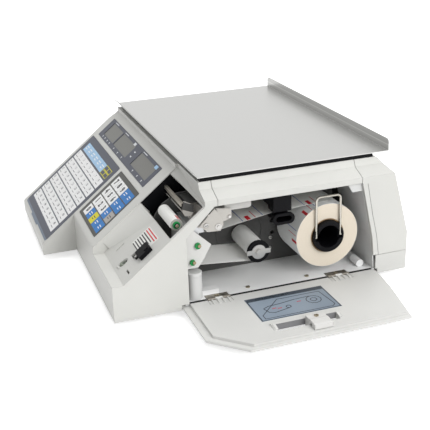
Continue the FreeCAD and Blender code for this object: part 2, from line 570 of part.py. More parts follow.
def build_belt():
    """Flat loop round the platen pulley and the larger take-up pulley."""
    run_y = SPOOL_YZ[0] - PLATEN_YZ[0]
    run_z = SPOOL_YZ[1] - PLATEN_YZ[1]
    lean = math.degrees(math.atan2(run_z, run_y))
    flare = math.degrees(math.asin((TAKE_UP_PULLEY_R - PULLEY_R) / math.hypot(run_y, run_z)))
    loops = []
    for offset in (BELT_GAP + BELT_T, BELT_GAP):
        near = arc_points(PLATEN_YZ, PULLEY_R + offset, lean + 90 + flare, lean + 270 - flare, 10)
        far = arc_points(SPOOL_YZ, TAKE_UP_PULLEY_R + offset, lean - 90 - flare, lean + 90 + flare, 10)
        loops.append(prism_x(near + far, BELT_X0 + 0.5, BELT_X1 - 0.5))
    return loops[0].cut(loops[1])


keep("platen_shaft", rod_x(PLATEN_YZ, SHAFT_R, GEAR_X0 - 2, PLATE_X1))
keep("platen_roller", tube_x(PLATEN_YZ, PLATEN_R, SHAFT_R, WEB_X0 - 1, WEB_X1 - 1))
keep("platen_gear", fuse([gear_x(PLATEN_YZ, PLATEN_TEETH, GEAR_X0, GEAR_X1, SHAFT_R, 0.0),
                          tube_x(PLATEN_YZ, PULLEY_R, SHAFT_R, GEAR_X1 - 1, BELT_X1)]))
keep("take_up_belt", build_belt())

# Small rollers, and the side plate that carries their near ends
PEEL_YZ = (PLATEN_YZ[0] - PLATEN_R, PLATEN_YZ[1] + PLATEN_R - 1)
STAY_YZ = (PLATEN_YZ[0] + 7.0, PLATEN_YZ[1] - 16.0)
STAY_R = 2.5


def build_side_plate():
    y, z = PLATEN_YZ
    outline = [(y - 12.5, z + 13), (y - 4, z + 18.6), (y + 17, z - 1.7),
               (y + 5, z - 22), (y, z - 28), (y - 14.5, z - 28)]
    plate = prism_x(outline, PLATE_X0, PLATE_X1)
    stays = [rod_x(yz, STAY_R, CHASSIS_FACE, PLATE_X0 + 0.5) for yz in (PEEL_YZ, STAY_YZ)]
    tools = [rod_x(PLATEN_YZ, SHAFT_R + RUN_FIT, PLATE_X0 - 2, PLATE_X1 + 2),
             rod_x(LINER_ROLLER_YZ, AXLE_R + RUN_FIT, PLATE_X0 - 2, PLATE_X1 + 2)]
    return fuse([plate] + stays).cut(tools)


def bearing_cap(yz, r, shaft_r):
    """Cap screwed over a bearing, clear of the shaft end."""
    return rod_x(yz, r, PLATE_X1, PLATE_X1 + 3).cut(rod_x(yz, shaft_r + 0.5, PLATE_X1 - 1, PLATE_X1 + 0.5))


keep("liner_roller", fuse([rod_x(LINER_ROLLER_YZ, LINER_ROLLER_R, WEB_X0 - 1, WEB_X1 - 1),
                           rod_x(LINER_ROLLER_YZ, AXLE_R, CHASSIS_X - 1, PLATE_X1)]))
keep("outlet_roller", fuse([rod_x(OUTLET_ROLLER_YZ, OUTLET_ROLLER_R, WEB_X0 - 1, WEB_X1 - 9),
                            rod_x(OUTLET_ROLLER_YZ, AXLE_R, CHASSIS_X - 4, WEB_X1 - 5)]))
keep("roller_side_plate", build_side_plate())
keep("bearing_caps", Part.makeCompound([bearing_cap(PLATEN_YZ, SHAFT_R + 1.2, SHAFT_R),
                                        bearing_cap(LINER_ROLLER_YZ, AXLE_R + 1.4, AXLE_R)]))

# Print head on its swinging arm; pressing the release plate down at the rear lifts the head
HEAD_LOW = PLATEN_YZ[1] + PLATEN_R + WEB_GAP + PAPER_T
ARM_TOP_Z = HEAD_PIVOT_YZ[1] + 15.0


def build_head_arm():
    y, z = HEAD_PIVOT_YZ
    side = [(y - 22.4, z + 4), (y - 13.4, z - 4.5), (y + 2.6, z - 5.5),
            (y + 6.6, z + 2), (y + 4.6, z + 12), (y - 4, z + 23)]
    far = side[:4] + [(y + 4.6, ARM_TOP_Z + 1), (y - 12.4, ARM_TOP_Z + 1)]
    back = [(y - 13.9, ARM_PLATE_Z), (y - 12.4, ARM_PLATE_Z),
            (y - 10.9, ARM_TOP_Z + PLATE_T), (y - 12.4, ARM_TOP_Z + PLATE_T)]
    parts = [prism_x(side, PLATE_X0, PLATE_X1), prism_x(far, HEAD_X0, HEAD_X0 + PLATE_T),
             prism_x(back, HEAD_X0, PLATE_X1),
             box(HEAD_X0, PLATE_X1, y - 12.4, y + 4.5, ARM_TOP_Z, ARM_TOP_Z + PLATE_T),
             box(HEAD_X0, PLATE_X1, y - 24.4, y - 12.9, ARM_PLATE_Z, ARM_PLATE_Z + PLATE_T)]
    return fuse(parts).cut(rod_x(HEAD_PIVOT_YZ, AXLE_R, HEAD_X0 - 2, PLATE_X1 + 2))


def build_release_plate():
    y = HEAD_PIVOT_YZ[0]
    low = ARM_TOP_Z + PLATE_T
    top = low + 11.5
    outline = [(y + 9.6, low), (y + 40, low), (y + 42.6, low + 2),
               (y + 42.6, top - 2), (y + 40, top), (y + 9.6, top)]
    tongue = box(HEAD_X0 + 20, PLATE_X0 - 2.5, y - 6, y + 14, low, low + PLATE_T)
    return fuse([prism_x(outline, PLATE_X0 - 4, PLATE_X0 - 2.5), tongue])


def build_print_head():
    y = PLATEN_YZ[0]
    return fuse([box(HEAD_X0 + 2, HEAD_X1, y - 6, y + 10, HEAD_LOW + 2.4, ARM_PLATE_Z),
                 box(HEAD_X0 + 2, HEAD_X1, y - 4, y + 4, HEAD_LOW, HEAD_LOW + 2.4)])


def build_spring():
    """Compression spring between the chassis perch and the head arm."""
    coil_r, wire_r, turns = 3.6, 0.45, 5
    low = ARM_PLATE_Z + PLATE_T + wire_r
    height = PERCH_Z - low - wire_r
    helix = Part.makeHelix(height / turns, height, coil_r)
    ring = Part.Wire(Part.makeCircle(wire_r, Vector(coil_r, 0, 0), Vector(0, 1, 0)))
    coil = Part.Wire(helix).makePipeShell([ring], True, True)
    coil.translate(Vector(SPRING_X, SPRING_Y, low))
    return coil


keep("head_arm", build_head_arm())
keep("head_release_plate", build_release_plate())
keep("head_pivot_shaft", rod_x(HEAD_PIVOT_YZ, AXLE_R, CHASSIS_X - 2, PLATE_X1 + 2))
keep("print_head", build_print_head())
keep("head_spring", build_spring())

# Web guide, and the gap sensor above the web
GUIDE_HALF_Y, GUIDE_HALF_Z = 12.0, 5.5


def oval_x(yz, half_y, half_z, x0, x1):
    flat = half_y - half_z
    middle = box(x0, x1, yz[0] - flat, yz[0] + flat, yz[1] - half_z, yz[1] + half_z)
    return fuse([middle] + [rod_x((yz[0] + side * flat, yz[1]), half_z, x0, x1) for side in (-1, 1)])


def build_guide():
    bar = oval_x(GUIDE_YZ, GUIDE_HALF_Y, GUIDE_HALF_Z, CHASSIS_FACE, WEB_X1 + 1)
    flange = oval_x(GUIDE_YZ, GUIDE_HALF_Y + 2, GUIDE_HALF_Z + 1.5, WEB_X1 + 0.5, WEB_X1 + 4)
    hollow = oval_x(GUIDE_YZ, GUIDE_HALF_Y - 2, GUIDE_HALF_Z - 2, WEB_X1 - 25, WEB_X1 + 6)
    return fuse([bar, flange]).cut(hollow)


def build_gap_sensor():
    y0, y1 = GUIDE_YZ[0] - 12.5, GUIDE_YZ[0] + 10.5
    low = GUIDE_YZ[1] + GUIDE_HALF_Z + 3.5
    return fuse([box(CHASSIS_FACE, WEB_X1 + 2, y0, y1, low + 5, RAIL_LOW - 3),
                 box(WEB_X1 - 14, WEB_X1 + 2, y0, y1, low, low + 6)])


keep("web_guide", build_guide())
keep("gap_sensor", build_gap_sensor())

# Supply hub, label roll and wire bail
HUB_R = ROLL_BORE_R - 0.5
HUB_BORE_R = ROLL_BORE_R - 6.0
HUB_X1 = WEB_X1 + 5.0
WIRE_R = 1.5
BAIL_X = WEB_X1 + WIRE_R + 0.9
BAIL_HALF = HUB_R - 4.0
BAIL_TOP = ROLL_R + 11.0
BAIL_BEND = 5.0


def build_hub():
    y, z = ROLL_YZ
    parts = [tube_x(ROLL_YZ, HUB_R, HUB_BORE_R, CHASSIS_FACE, HUB_X1),
             tube_x(ROLL_YZ, HUB_R + 9.5, HUB_BORE_R, CHASSIS_FACE, CHASSIS_FACE + 3),
             rod_x(ROLL_YZ, HUB_BORE_R + 1, CHASSIS_FACE, CHASSIS_FACE + 2)]
    slot = WIRE_R + 0.5
    tools = [rod_y(BAIL_X, z, WIRE_R + RUN_FIT, y - HUB_R - 1, y + HUB_R + 1)]
    for side in (-1, 1):
        middle = y + side * BAIL_HALF
        tools.append(box(BAIL_X - slot, HUB_X1 + 1, middle - slot, middle + slot, z - slot - 2, z + HUB_R))
    return fuse(parts).cut(tools)


def build_bail():
    """U of round wire whose out-turned ends pivot in the hub."""
    y, z = ROLL_YZ
    top = z + BAIL_TOP
    parts = [rod_y(BAIL_X, top, WIRE_R, y - BAIL_HALF + BAIL_BEND, y + BAIL_HALF - BAIL_BEND)]
    for side in (-1, 1):
        leg_y = y + side * BAIL_HALF
        end_y = y + side * (HUB_R - 0.6)
        bend_y = leg_y - side * BAIL_BEND
        torus = Part.makeTorus(BAIL_BEND, WIRE_R, Vector(BAIL_X, bend_y, top - BAIL_BEND), Vector(1, 0, 0))
        quarter_y = sorted((bend_y, leg_y + side * BAIL_BEND))
        corner = box(BAIL_X - BAIL_BEND, BAIL_X + BAIL_BEND, *quarter_y, top - BAIL_BEND, top + BAIL_BEND)
        parts += [rod_z(BAIL_X, leg_y, WIRE_R, z, top - BAIL_BEND), torus.common(corner),
                  rod_y(BAIL_X, z, WIRE_R, min(leg_y, end_y), max(leg_y, end_y)),
                  Part.makeSphere(WIRE_R, Vector(BAIL_X, leg_y, z))]
    return fuse(parts)


keep("supply_hub", build_hub())
keep("roll_bail", build_bail())
keep("roll_core", tube_x(ROLL_YZ, ROLL_BORE_R + CORE_T, ROLL_BORE_R, WEB_X0, WEB_X1))
keep("label_roll", tube_x(ROLL_YZ, ROLL_R, ROLL_BORE_R + CORE_T, WEB_X0, WEB_X1))

# Take-up spool for the backing liner
SPOOL_FLANGE_T = 3.0


def build_clip():
    y, z = SPOOL_YZ
    return fuse([rod_x(SPOOL_YZ, 9, WEB_X1, WEB_X1 + 1.2), rod_x(SPOOL_YZ, 4, WEB_X1, WEB_X1 + 4),
                 box(WEB_X1, WEB_X1 + 1.2, y - WRAP_R - 3, y + WRAP_R + 3, z - 3, z + 3)])


keep("take_up_spool", fuse([rod_x(SPOOL_YZ, SPOOL_R, CHASSIS_FACE + 1.5, WEB_X1),
                            rod_x(SPOOL_YZ, SHAFT_R, BELT_X0 - 2, CHASSIS_FACE + 2),
                            rod_x(SPOOL_YZ, TAKE_UP_PULLEY_R, BELT_X0, BELT_X1),
                            rod_x(SPOOL_YZ, WRAP_R + 2, WEB_X1 - SPOOL_FLANGE_T, WEB_X1)]))
keep("liner_wrap", tube_x(SPOOL_YZ, WRAP_R, SPOOL_R, WEB_X0, WEB_X1 - SPOOL_FLANGE_T))
keep("spool_clip", build_clip())


# Paper: the label web from roll to outlet, and the liner back to the spool
def build_label_web():
    wrap = OUTLET_ROLLER_R + WEB_GAP + PAPER_T / 2
    platen_top = PLATEN_YZ[1] + PLATEN_R + WEB_GAP + PAPER_T / 2 - 0.1
    roll_top = ROLL_YZ[1] + ROLL_R + WEB_GAP
    guide_top = GUIDE_YZ[1] + GUIDE_HALF_Z + WEB_GAP + PAPER_T / 2
    guide_flat = GUIDE_HALF_Y - GUIDE_HALF_Z
    path = [(ROLL_YZ[0] + 4, roll_top), (ROLL_YZ[0] - 6, roll_top - 0.2),
            (GUIDE_YZ[0] + guide_flat, guide_top), (GUIDE_YZ[0] - guide_flat, guide_top),
            (PLATEN_YZ[0] + 35, platen_top + 0.6),
            (PLATEN_YZ[0] + 5, platen_top), (PLATEN_YZ[0] - 5, platen_top),
            (PEEL_YZ[0], PEEL_YZ[1] + STAY_R + WEB_GAP + PAPER_T / 2),
            (OUTLET_ROLLER_YZ[0] + wrap, OUTLET_ROLLER_YZ[1] - 5)]
    path += arc_points(OUTLET_ROLLER_YZ, wrap, 0, 200, 10)
    return strip_x(path, PAPER_T, WEB_X0 + 1, WEB_X1 - 9)


def build_liner_web():
    r = LINER_ROLLER_R + WEB_GAP + PAPER_T / 2
    path = [(PEEL_YZ[0] - STAY_R - 0.4, PEEL_YZ[1])] + arc_points(LINER_ROLLER_YZ, r, 180, 264, 6)
    path += arc_points(SPOOL_YZ, WRAP_R + WEB_GAP, 264, 300, 4)
    return strip_x(path, PAPER_T, WEB_X0 + 1, WEB_X1 - 4)


keep("label_web", build_label_web())
keep("liner_web", build_liner_web())


# Keyboard films, display and their boards
BOARD_T = 1.6
LCD_LOW = -WALL - 0.5


def film(x0, x1, s0, s1):
    return slope_box(x0 + FILM_GAP, x1 - FILM_GAP, s0 + FILM_GAP, s1 - FILM_GAP, -POCKET, FILM_OUT, 2.0)


def key_board(x0, x1, s0, s1):
    return slope_box(x0 + 6, x1 - 8, s0 + 6, s1 - 12, -WALL - BOARD_T, -WALL)


keep("display_panel", film(DISPLAY_X0, DISPLAY_X1, DISPLAY_S0, DISPLAY_S1)
     .cut([slope_box(x0, x1, LCD_S0, LCD_S1, -5, 5) for x0, x1 in LCD_WINDOWS]))
keep("lcd_modules", Part.makeCompound([slope_box(x0, x1, LCD_S0, LCD_S1, LCD_LOW, -0.3)
                                       for x0, x1 in LCD_WINDOWS]))
keep("display_board", slope_box(DISPLAY_X0 + 4, DISPLAY_X1 - 4, LCD_S0 - 4, LCD_S1 + 4,
                                LCD_LOW - BOARD_T, LCD_LOW))
keep("preset_key_overlay", film(PRESET_X0, PRESET_X1, PRESET_S0, PRESET_S1))
keep("number_key_overlay", film(NUMBER_X0, NUMBER_X1, NUMBER_S0, NUMBER_S1))
keep("key_boards", Part.makeCompound([key_board(PRESET_X0, PRESET_X1, PRESET_S0, PRESET_S1),
                                      key_board(NUMBER_X0, NUMBER_X1, NUMBER_S0, NUMBER_S1)]))

# Weighing parts: pan, its support, and the load cell on a stand
SUPPORT_LOW = DECK_Z + 1.0
SUPPORT_TOP = PAN_TOP - PAN_T
CELL_Z0, CELL_Z1 = DECK_Z - 63.0, DECK_Z - 37.0
CELL_HALF_W = 17.0
CELL_L = 130.0
CELL_REAR_Y = POST_Y + POST_R + 1
CELL_FRONT_Y = CELL_REAR_Y - CELL_L


def build_pan():
    rear = PAN_FRONT_Y + PAN_D
    under = PAN_TOP - PAN_T
    half_t = PAN_T * 0.7
    tip_y, tip_z = PAN_FRONT_Y - PAN_FRONT_LIP, under + PAN_FRONT_LIP
    lip_top = PAN_TOP + PAN_LIP_H
    outline = [(PAN_FRONT_Y, under), (tip_y, tip_z), (tip_y + half_t, tip_z + half_t),
               (PAN_FRONT_Y + 0.4, PAN_TOP), (rear - PAN_T, PAN_TOP), (rear - PAN_T, lip_top),
               (rear, lip_top), (rear, under)]
    pan = prism_x(outline, PAN_X - PAN_W / 2, PAN_X + PAN_W / 2)
    corners = [e for e in edges_along(pan, Vector(0, 1, 0)) if e.CenterOfMass.z > lip_top - 0.1]
    return pan.makeFillet(PAN_LIP_H * 0.4, corners)


def build_pan_support():
    half_x, half_y = PAN_W / 2 - 40, PAN_D / 2 - 40
    plate = box(POST_X - half_x, POST_X + half_x, POST_Y - half_y, POST_Y + half_y, SUPPORT_LOW, SUPPORT_TOP)
    return fuse([plate, rod_z(POST_X, POST_Y, POST_R, CELL_Z1, SUPPORT_LOW + 1)])


def build_load_cell():
    bar = box(POST_X - CELL_HALF_W, POST_X + CELL_HALF_W, CELL_FRONT_Y, CELL_REAR_Y, CELL_Z0, CELL_Z1)
    mid_y, mid_z = (CELL_FRONT_Y + CELL_REAR_Y) / 2, (CELL_Z0 + CELL_Z1) / 2
    x0, x1 = POST_X - CELL_HALF_W - 1, POST_X + CELL_HALF_W + 1
    tools = [rod_x((mid_y + dy, mid_z), 9, x0, x1) for dy in (-14, 14)]
    tools.append(box(x0, x1, mid_y - 14, mid_y + 14, mid_z - 3, mid_z + 3))
    return bar.cut(tools)


def build_cell_stand():
    y1 = CELL_FRONT_Y + 34
    parts = [box(POST_X - 46, POST_X + 46, CELL_FRONT_Y, y1, CELL_Z0 - 12, CELL_Z0)]
    for x in (POST_X - 40, POST_X + 40):
        parts.append(box(x - 6, x + 6, CELL_FRONT_Y, y1, LOW, CELL_Z0 - 11))
    return fuse(parts)


keep("weighing_pan", build_pan())
keep("pan_support", build_pan_support())
keep("load_cell", build_load_cell())
keep("load_cell_stand", build_cell_stand())

# Electronics
BOARD_Z = LOW + 8.0
BOARD_X0, BOARD_X1 = -HALF_W + 23, -HALF_W + 143
BOARD_Y0, BOARD_Y1 = 0.0, 130.0
SUPPLY_X0, SUPPLY_X1 = INLET_X0 - 5, SWITCH_X1 + 40


def build_main_board():
    top = BOARD_Z + BOARD_T
    parts = [box(BOARD_X0, BOARD_X1, BOARD_Y0, BOARD_Y1, BOARD_Z, top)]
    parts.append(box(BOARD_X0 + 30, BOARD_X0 + 58, BOARD_Y0 + 40, BOARD_Y0 + 68, top - 0.5, top + 3))
    parts.append(box(BOARD_X0 + 75, BOARD_X0 + 105, BOARD_Y0 + 90, BOARD_Y0 + 110, top - 0.5, top + 4))
    parts.append(box(BOARD_X0 + 4, BOARD_X0 + 16, BOARD_Y0 + 15, BOARD_Y0 + 75, top - 0.5, top + 9))
    for x in (BOARD_X0 + 6, BOARD_X1 - 6):
        for y in (BOARD_Y0 + 6, BOARD_Y1 - 6):
            parts.append(rod_z(x, y, 3, LOW, BOARD_Z + 0.5))
    return fuse(parts)


def build_power_inlet():
    """Inlet and switch frame, one moulding in the rear cover."""
    mid_x, mid_z = (SWITCH_X0 + SWITCH_X1) / 2, (INLET_Z0 + INLET_Z1) / 2
    outside = REAR_Y + 2
    fit = 0.3
    body = fuse([box(INLET_X0 - 3, SWITCH_X1 + 3, REAR_Y, outside, INLET_Z0 - 2, INLET_Z1 + 2),
                 box(INLET_X0 + fit, INLET_X1 - fit, REAR_Y - 18, REAR_Y + 1, INLET_Z0 + fit, INLET_Z1 - fit),
                 box(SWITCH_X0 + fit, SWITCH_X1 - fit, REAR_Y - 16, REAR_Y + 1,
                     INLET_Z0 + 2 + fit, INLET_Z1 - 2 - fit)])
    body = body.cut([box(INLET_X0 + 3, INLET_X1 - 3, REAR_Y - 14, outside + 1, INLET_Z0 + 3, INLET_Z1 - 3),
                     box(mid_x - 8.5, mid_x + 8.5, REAR_Y - 12, outside + 1, mid_z - 6.9, mid_z + 6.9),
                     rod_x((REAR_Y - 4, mid_z), 1.0 + RUN_FIT, mid_x - 9.8, mid_x + 9.8)])
    inlet_x = (INLET_X0 + INLET_X1) / 2
    pins = [box(inlet_x + dx - 1, inlet_x + dx + 1, REAR_Y - 15, REAR_Y - 3, mid_z + dz - 2, mid_z + dz + 2)
            for dx, dz in ((-7, -1.5), (0, 2), (7, -1.5))]
    return fuse([body] + pins)


def build_rocker():
    mid_x, z = (SWITCH_X0 + SWITCH_X1) / 2, (INLET_Z0 + INLET_Z1) / 2
    outline = [(REAR_Y - 7, z - 5), (REAR_Y - 7, z + 5), (REAR_Y + 3.2, z + 5.2),
               (REAR_Y + 1, z), (REAR_Y + 0.2, z - 5.2)]
    pivot = rod_x((REAR_Y - 4, z), 1.0, mid_x - 9.5, mid_x + 9.5)
    return fuse([prism_x(outline, mid_x - 8, mid_x + 8), pivot])


keep("main_board", build_main_board())
SUPPLY_Y0, SUPPLY_Y1 = REAR_Y - 68.0, REAR_Y - 20.0
SUPPLY_FLANGE = 2.0
keep("power_supply", fuse([box(SUPPLY_X0, SUPPLY_X1, SUPPLY_Y0, SUPPLY_Y1, LOW, LOW + SUPPLY_FLANGE),
                           box(SUPPLY_X0 + SUPPLY_FLANGE, SUPPLY_X1 - SUPPLY_FLANGE,
                               SUPPLY_Y0 + SUPPLY_FLANGE, SUPPLY_Y1 - SUPPLY_FLANGE, LOW + 1, TRAY_Z + 8)]))
keep("power_inlet", build_power_inlet())
keep("power_rocker", build_rocker())

# Side door with its latch, modelled shut and then turned down about the hinge line
LATCH_H0, LATCH_H1 = DOOR_H - 34.0, DOOR_H - 22.0
LATCH_SLOT_Y0, LATCH_SLOT_Y1 = -4.0, 70.0
LATCH_Y = 43.0
LATCH_HALF = 11.0
LATCH_OUT = 6.0         # stands proud of the inner face of the door
LATCH_GRIP = 1.5        # and of the outer face
LATCH_MID_Z = HINGE_Z + (LATCH_H0 + LATCH_H1) / 2


def open_pose(shape):
    shape = shape.copy()
    shape.rotate(Vector(HINGE_X, 0, HINGE_Z), Vector(0, 1, 0), 90)
    return shape


def door_prism(points, x0, x1):
    return prism_x([(y, HINGE_Z + h) for y, h in points], x0, x1)


def build_door():
    skin_x = HINGE_X + DOOR_INNER
    panel = inset_points(DOOR_OUTLINE, DOOR_LIP + DOOR_GAP)
    low = min(h for _, h in panel)
    panel = [(y + DOOR_SHIFT, DOOR_GAP if h < low + 0.1 else h) for y, h in panel]
    skin = door_prism(DOOR_OUTLINE, skin_x, skin_x + DOOR_SKIN)
    door = fuse([skin, door_prism(panel, HINGE_X, skin_x + 0.5)])
    slot_x = skin_x + DOOR_SKIN + 1
    tools = [box(HINGE_X - 1, slot_x, LATCH_SLOT_Y0, LATCH_SLOT_Y1, HINGE_Z + LATCH_H0, HINGE_Z + LATCH_H1)]
    for y in HINGE_STARTS:
        y0, y1 = y - 0.5, y + HINGE_LEN + 0.5
        tools.append(box(HINGE_X - 1, HINGE_X + LEAF_T, y0, y1, HINGE_Z - 1, HINGE_Z + LEAF_W + 0.5))
        tools.append(rod_y(HINGE_X, HINGE_Z, KNUCKLE_R + 0.5, y0, y1))
    return door.cut(tools)


def build_latch():
    """Sliding latch in the slot of the door, with a hooked nose toward the free edge."""
    y0, y1 = LATCH_Y - LATCH_HALF, LATCH_Y + LATCH_HALF
    top = HINGE_Z + LATCH_H1
    outside = HINGE_X + DOOR_INNER + DOOR_SKIN + LATCH_GRIP
    block = box(HINGE_X - LATCH_OUT, outside, y0, y1, HINGE_Z + LATCH_H0 + 0.4, top - 0.4)
    nose = box(HINGE_X - LATCH_OUT, HINGE_X - 0.4, y0, y1, top - 1, top + 9)
    nose = nose.cut(box(HINGE_X - 3.5, HINGE_X + 1, y0 - 1, y1 + 1, top + 1, top + 6))
    return fuse([block, nose]).cut(rod_x((LATCH_Y, LATCH_MID_Z), 1.3, HINGE_X - LATCH_OUT - 1, HINGE_X - 1))


keep("side_door", open_pose(build_door()))
keep("hinge_door_leaves", open_pose(Part.makeCompound([door_leaf(y) for y in HINGE_STARTS])))
keep("door_latch", open_pose(build_latch()))
LATCH_FACE = Vector(HINGE_X - LATCH_OUT, LATCH_Y, LATCH_MID_Z)
keep("latch_screw", open_pose(screw(LATCH_FACE, Vector(-1, 0, 0), 2.6, 1.2, 4)))
keep("door_guide_plate", open_pose(box(HINGE_X - 0.4, HINGE_X, -14.0, 85.0, HINGE_Z + 18, HINGE_Z + 74)))

# Origin: middle of the footprint with the door open, on the counter
EXTENT = Part.makeCompound(list(PIECES.values())).BoundBox
ORIGIN = Vector(-(EXTENT.XMin + EXTENT.XMax) / 2, -(EXTENT.YMin + EXTENT.YMax) / 2, -EXTENT.ZMin)
for name, piece in PIECES.items():
    piece = piece.copy()
    piece.translate(ORIGIN)
    piece.exportStep("parts/" + name + ".step")
print(len(PIECES), "pieces, moved by", ORIGIN)
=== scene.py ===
import math

import bmesh
import bpy
from mathutils import Matrix, Vector


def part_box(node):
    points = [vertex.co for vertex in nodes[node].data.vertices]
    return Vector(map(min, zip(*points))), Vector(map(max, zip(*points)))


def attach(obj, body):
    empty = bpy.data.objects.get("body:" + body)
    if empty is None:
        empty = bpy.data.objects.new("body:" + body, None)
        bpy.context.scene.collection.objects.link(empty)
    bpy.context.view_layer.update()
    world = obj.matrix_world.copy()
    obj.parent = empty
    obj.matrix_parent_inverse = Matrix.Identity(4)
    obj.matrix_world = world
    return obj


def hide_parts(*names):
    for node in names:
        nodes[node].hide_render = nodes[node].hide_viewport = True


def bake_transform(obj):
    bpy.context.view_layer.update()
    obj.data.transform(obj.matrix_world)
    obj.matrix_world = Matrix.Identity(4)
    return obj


# Looks of a retail label-printing scale. Lengths below are millimetres in the part's own
# modelling axes (x = 0 on the middle of the body); place() turns them into scene metres.

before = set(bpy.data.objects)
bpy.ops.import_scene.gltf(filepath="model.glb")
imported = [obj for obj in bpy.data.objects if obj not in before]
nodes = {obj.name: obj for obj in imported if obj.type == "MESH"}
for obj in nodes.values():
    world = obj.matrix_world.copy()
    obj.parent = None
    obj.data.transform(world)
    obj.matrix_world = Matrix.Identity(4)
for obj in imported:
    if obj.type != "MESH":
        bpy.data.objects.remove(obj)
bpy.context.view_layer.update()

ORIGIN = (-59.75, -1.35, 0.0)
SLOPE = math.radians(38.4)
CREST_Y, CREST_Z = -56.0, 148.6
LEDGE_N = -15.28               # outlet ledge below the keyboard plane, along its normal
FILM_N = 0.3                   # top of the key films above the keyboard plane
HINGE_X, HINGE_Z = 200.5, 14.0
PLATE_X1 = 192.0               # outer face of the printer's near side plates
ROLL_YZ, ROLL_R = (107.0, 65.5), 41.0
PLATEN_YZ = (-60.0, 82.0)
LINER_ROLLER_YZ = (-67.0, 62.0)
OUTLET_ROLLER_YZ = (-81.0, 107.0)
OUTLET_WEB_R = 7.5             # outside of the label where it wraps the outlet roller
HEAD_PIVOT_YZ = (-33.6, 101.0)
LEVEL_XY = (160.0, -141.0)     # spirit level on the outlet ledge
POST_XY = (188.5, -64.5)       # post at the front of the bay floor
CHASSIS_FACE = 124.5           # near face of the printer chassis plate
SIDE_X = 203.0                 # right side face of the body
DECK_Z = 154.0
PAN_TOP = 160.0
UPSTAND_TOP = 174.0


def place(x, y, z):
    """Scene point, in metres, of a point in the modelling axes."""
    return Vector((x + ORIGIN[0], y + ORIGIN[1], z + ORIGIN[2])) / 1000


def on_slope(x, s, n):
    """Point on the keyboard: s runs down the slope from its crest, n stands out of it."""
    return place(x, CREST_Y - s * math.cos(SLOPE) - n * math.sin(SLOPE),
                 CREST_Z - s * math.sin(SLOPE) + n * math.cos(SLOPE))


def on_door(h, y, out):
    """Point on the inner face of the open door: h from the hinge line, out upward from the face."""
    return place(HINGE_X + h, y, HINGE_Z + out)


def across(y, z, x):
    """Point of an outline that is drawn out along x."""
    return place(x, y, z)


def along_door(h, out, y):
    """Point of an outline that is drawn out along the door's hinge line."""
    return on_door(h, y, out)


# Materials

def shader(name):
    material = bpy.data.materials.new(name)
    material.use_nodes = True
    tree = material.node_tree
    return material, tree, tree.nodes["Principled BSDF"]


def link(tree, source, target):
    tree.links.new(source, target)


def coordinates(tree, scale=(1, 1, 1), offset=(0, 0, 0)):
    mapping = tree.nodes.new("ShaderNodeMapping")
    mapping.inputs["Scale"].default_value = scale
    mapping.inputs["Location"].default_value = offset
    link(tree, tree.nodes.new("ShaderNodeTexCoord").outputs["Object"], mapping.inputs["Vector"])
    return mapping.outputs["Vector"]


def noise(tree, vector, scale, detail=2.0):
    texture = tree.nodes.new("ShaderNodeTexNoise")
    texture.inputs["Scale"].default_value = scale
    texture.inputs["Detail"].default_value = detail
    link(tree, vector, texture.inputs["Vector"])
    return texture.outputs["Fac"]


def colour_between(tree, factor, low, high):
    ramp = tree.nodes.new("ShaderNodeValToRGB")
    ramp.color_ramp.elements[0].position = 0.3
    ramp.color_ramp.elements[1].position = 0.7
    ramp.color_ramp.elements[0].color = (*low, 1)
    ramp.color_ramp.elements[1].color = (*high, 1)
    link(tree, factor, ramp.inputs["Fac"])
    return ramp.outputs["Color"]


def value_between(tree, factor, low, high):
    span = tree.nodes.new("ShaderNodeMapRange")
    span.inputs["From Min"].default_value = 0.25
    span.inputs["From Max"].default_value = 0.75
    span.inputs["To Min"].default_value = low
    span.inputs["To Max"].default_value = high
    link(tree, factor, span.inputs["Value"])
    return span.outputs["Result"]


def bump(tree, bsdf, height, strength, distance, edge_radius):
    """Surface relief, on edges softened to the radius a moulded or pressed part has."""
    relief = tree.nodes.new("ShaderNodeBump")
    relief.inputs["Strength"].default_value = strength
    relief.inputs["Distance"].default_value = distance
    link(tree, height, relief.inputs["Height"])
    if edge_radius:
        edge = tree.nodes.new("ShaderNodeBevel")
        edge.samples = 4
        edge.inputs["Radius"].default_value = edge_radius
        link(tree, edge.outputs["Normal"], relief.inputs["Normal"])
    link(tree, relief.outputs["Normal"], bsdf.inputs["Normal"])


def moulded(name, colour, rough, grain=1800.0, relief=0.12, vary=0.04, edge=0.0007, gloss=0.4):
    """Moulded or painted surface: fine grain, faint patchy colour, softened edges."""
    material, tree, bsdf = shader(name)
    vector = coordinates(tree)
    broad = noise(tree, vector, 9.0, 3.0)
    low = [c * (1 - vary) for c in colour]
    high = [min(c * (1 + vary), 1.0) for c in colour]
    link(tree, colour_between(tree, broad, low, high), bsdf.inputs["Base Color"])
    bsdf.inputs["Specular IOR Level"].default_value = gloss
    fine = noise(tree, vector, grain)
    link(tree, value_between(tree, broad, rough * 0.9, min(rough * 1.1, 1.0)), bsdf.inputs["Roughness"])
    bump(tree, bsdf, fine, relief, 0.0002, edge)
    return material


def metal(name, colour, rough, brush=(6.0, 900.0, 900.0), relief=0.05, edge=0.0003):
    """Metal with fine lines left by brushing or rolling along x."""
    material, tree, bsdf = shader(name)
    lines = noise(tree, coordinates(tree, brush), 1.0, 3.0)
    low = [c * 0.95 for c in colour]
    link(tree, colour_between(tree, lines, low, colour), bsdf.inputs["Base Color"])
    link(tree, value_between(tree, lines, rough * 0.85, rough * 1.15), bsdf.inputs["Roughness"])
    bsdf.inputs["Metallic"].default_value = 1.0
    bump(tree, bsdf, lines, relief, 0.0001, edge)
    return material


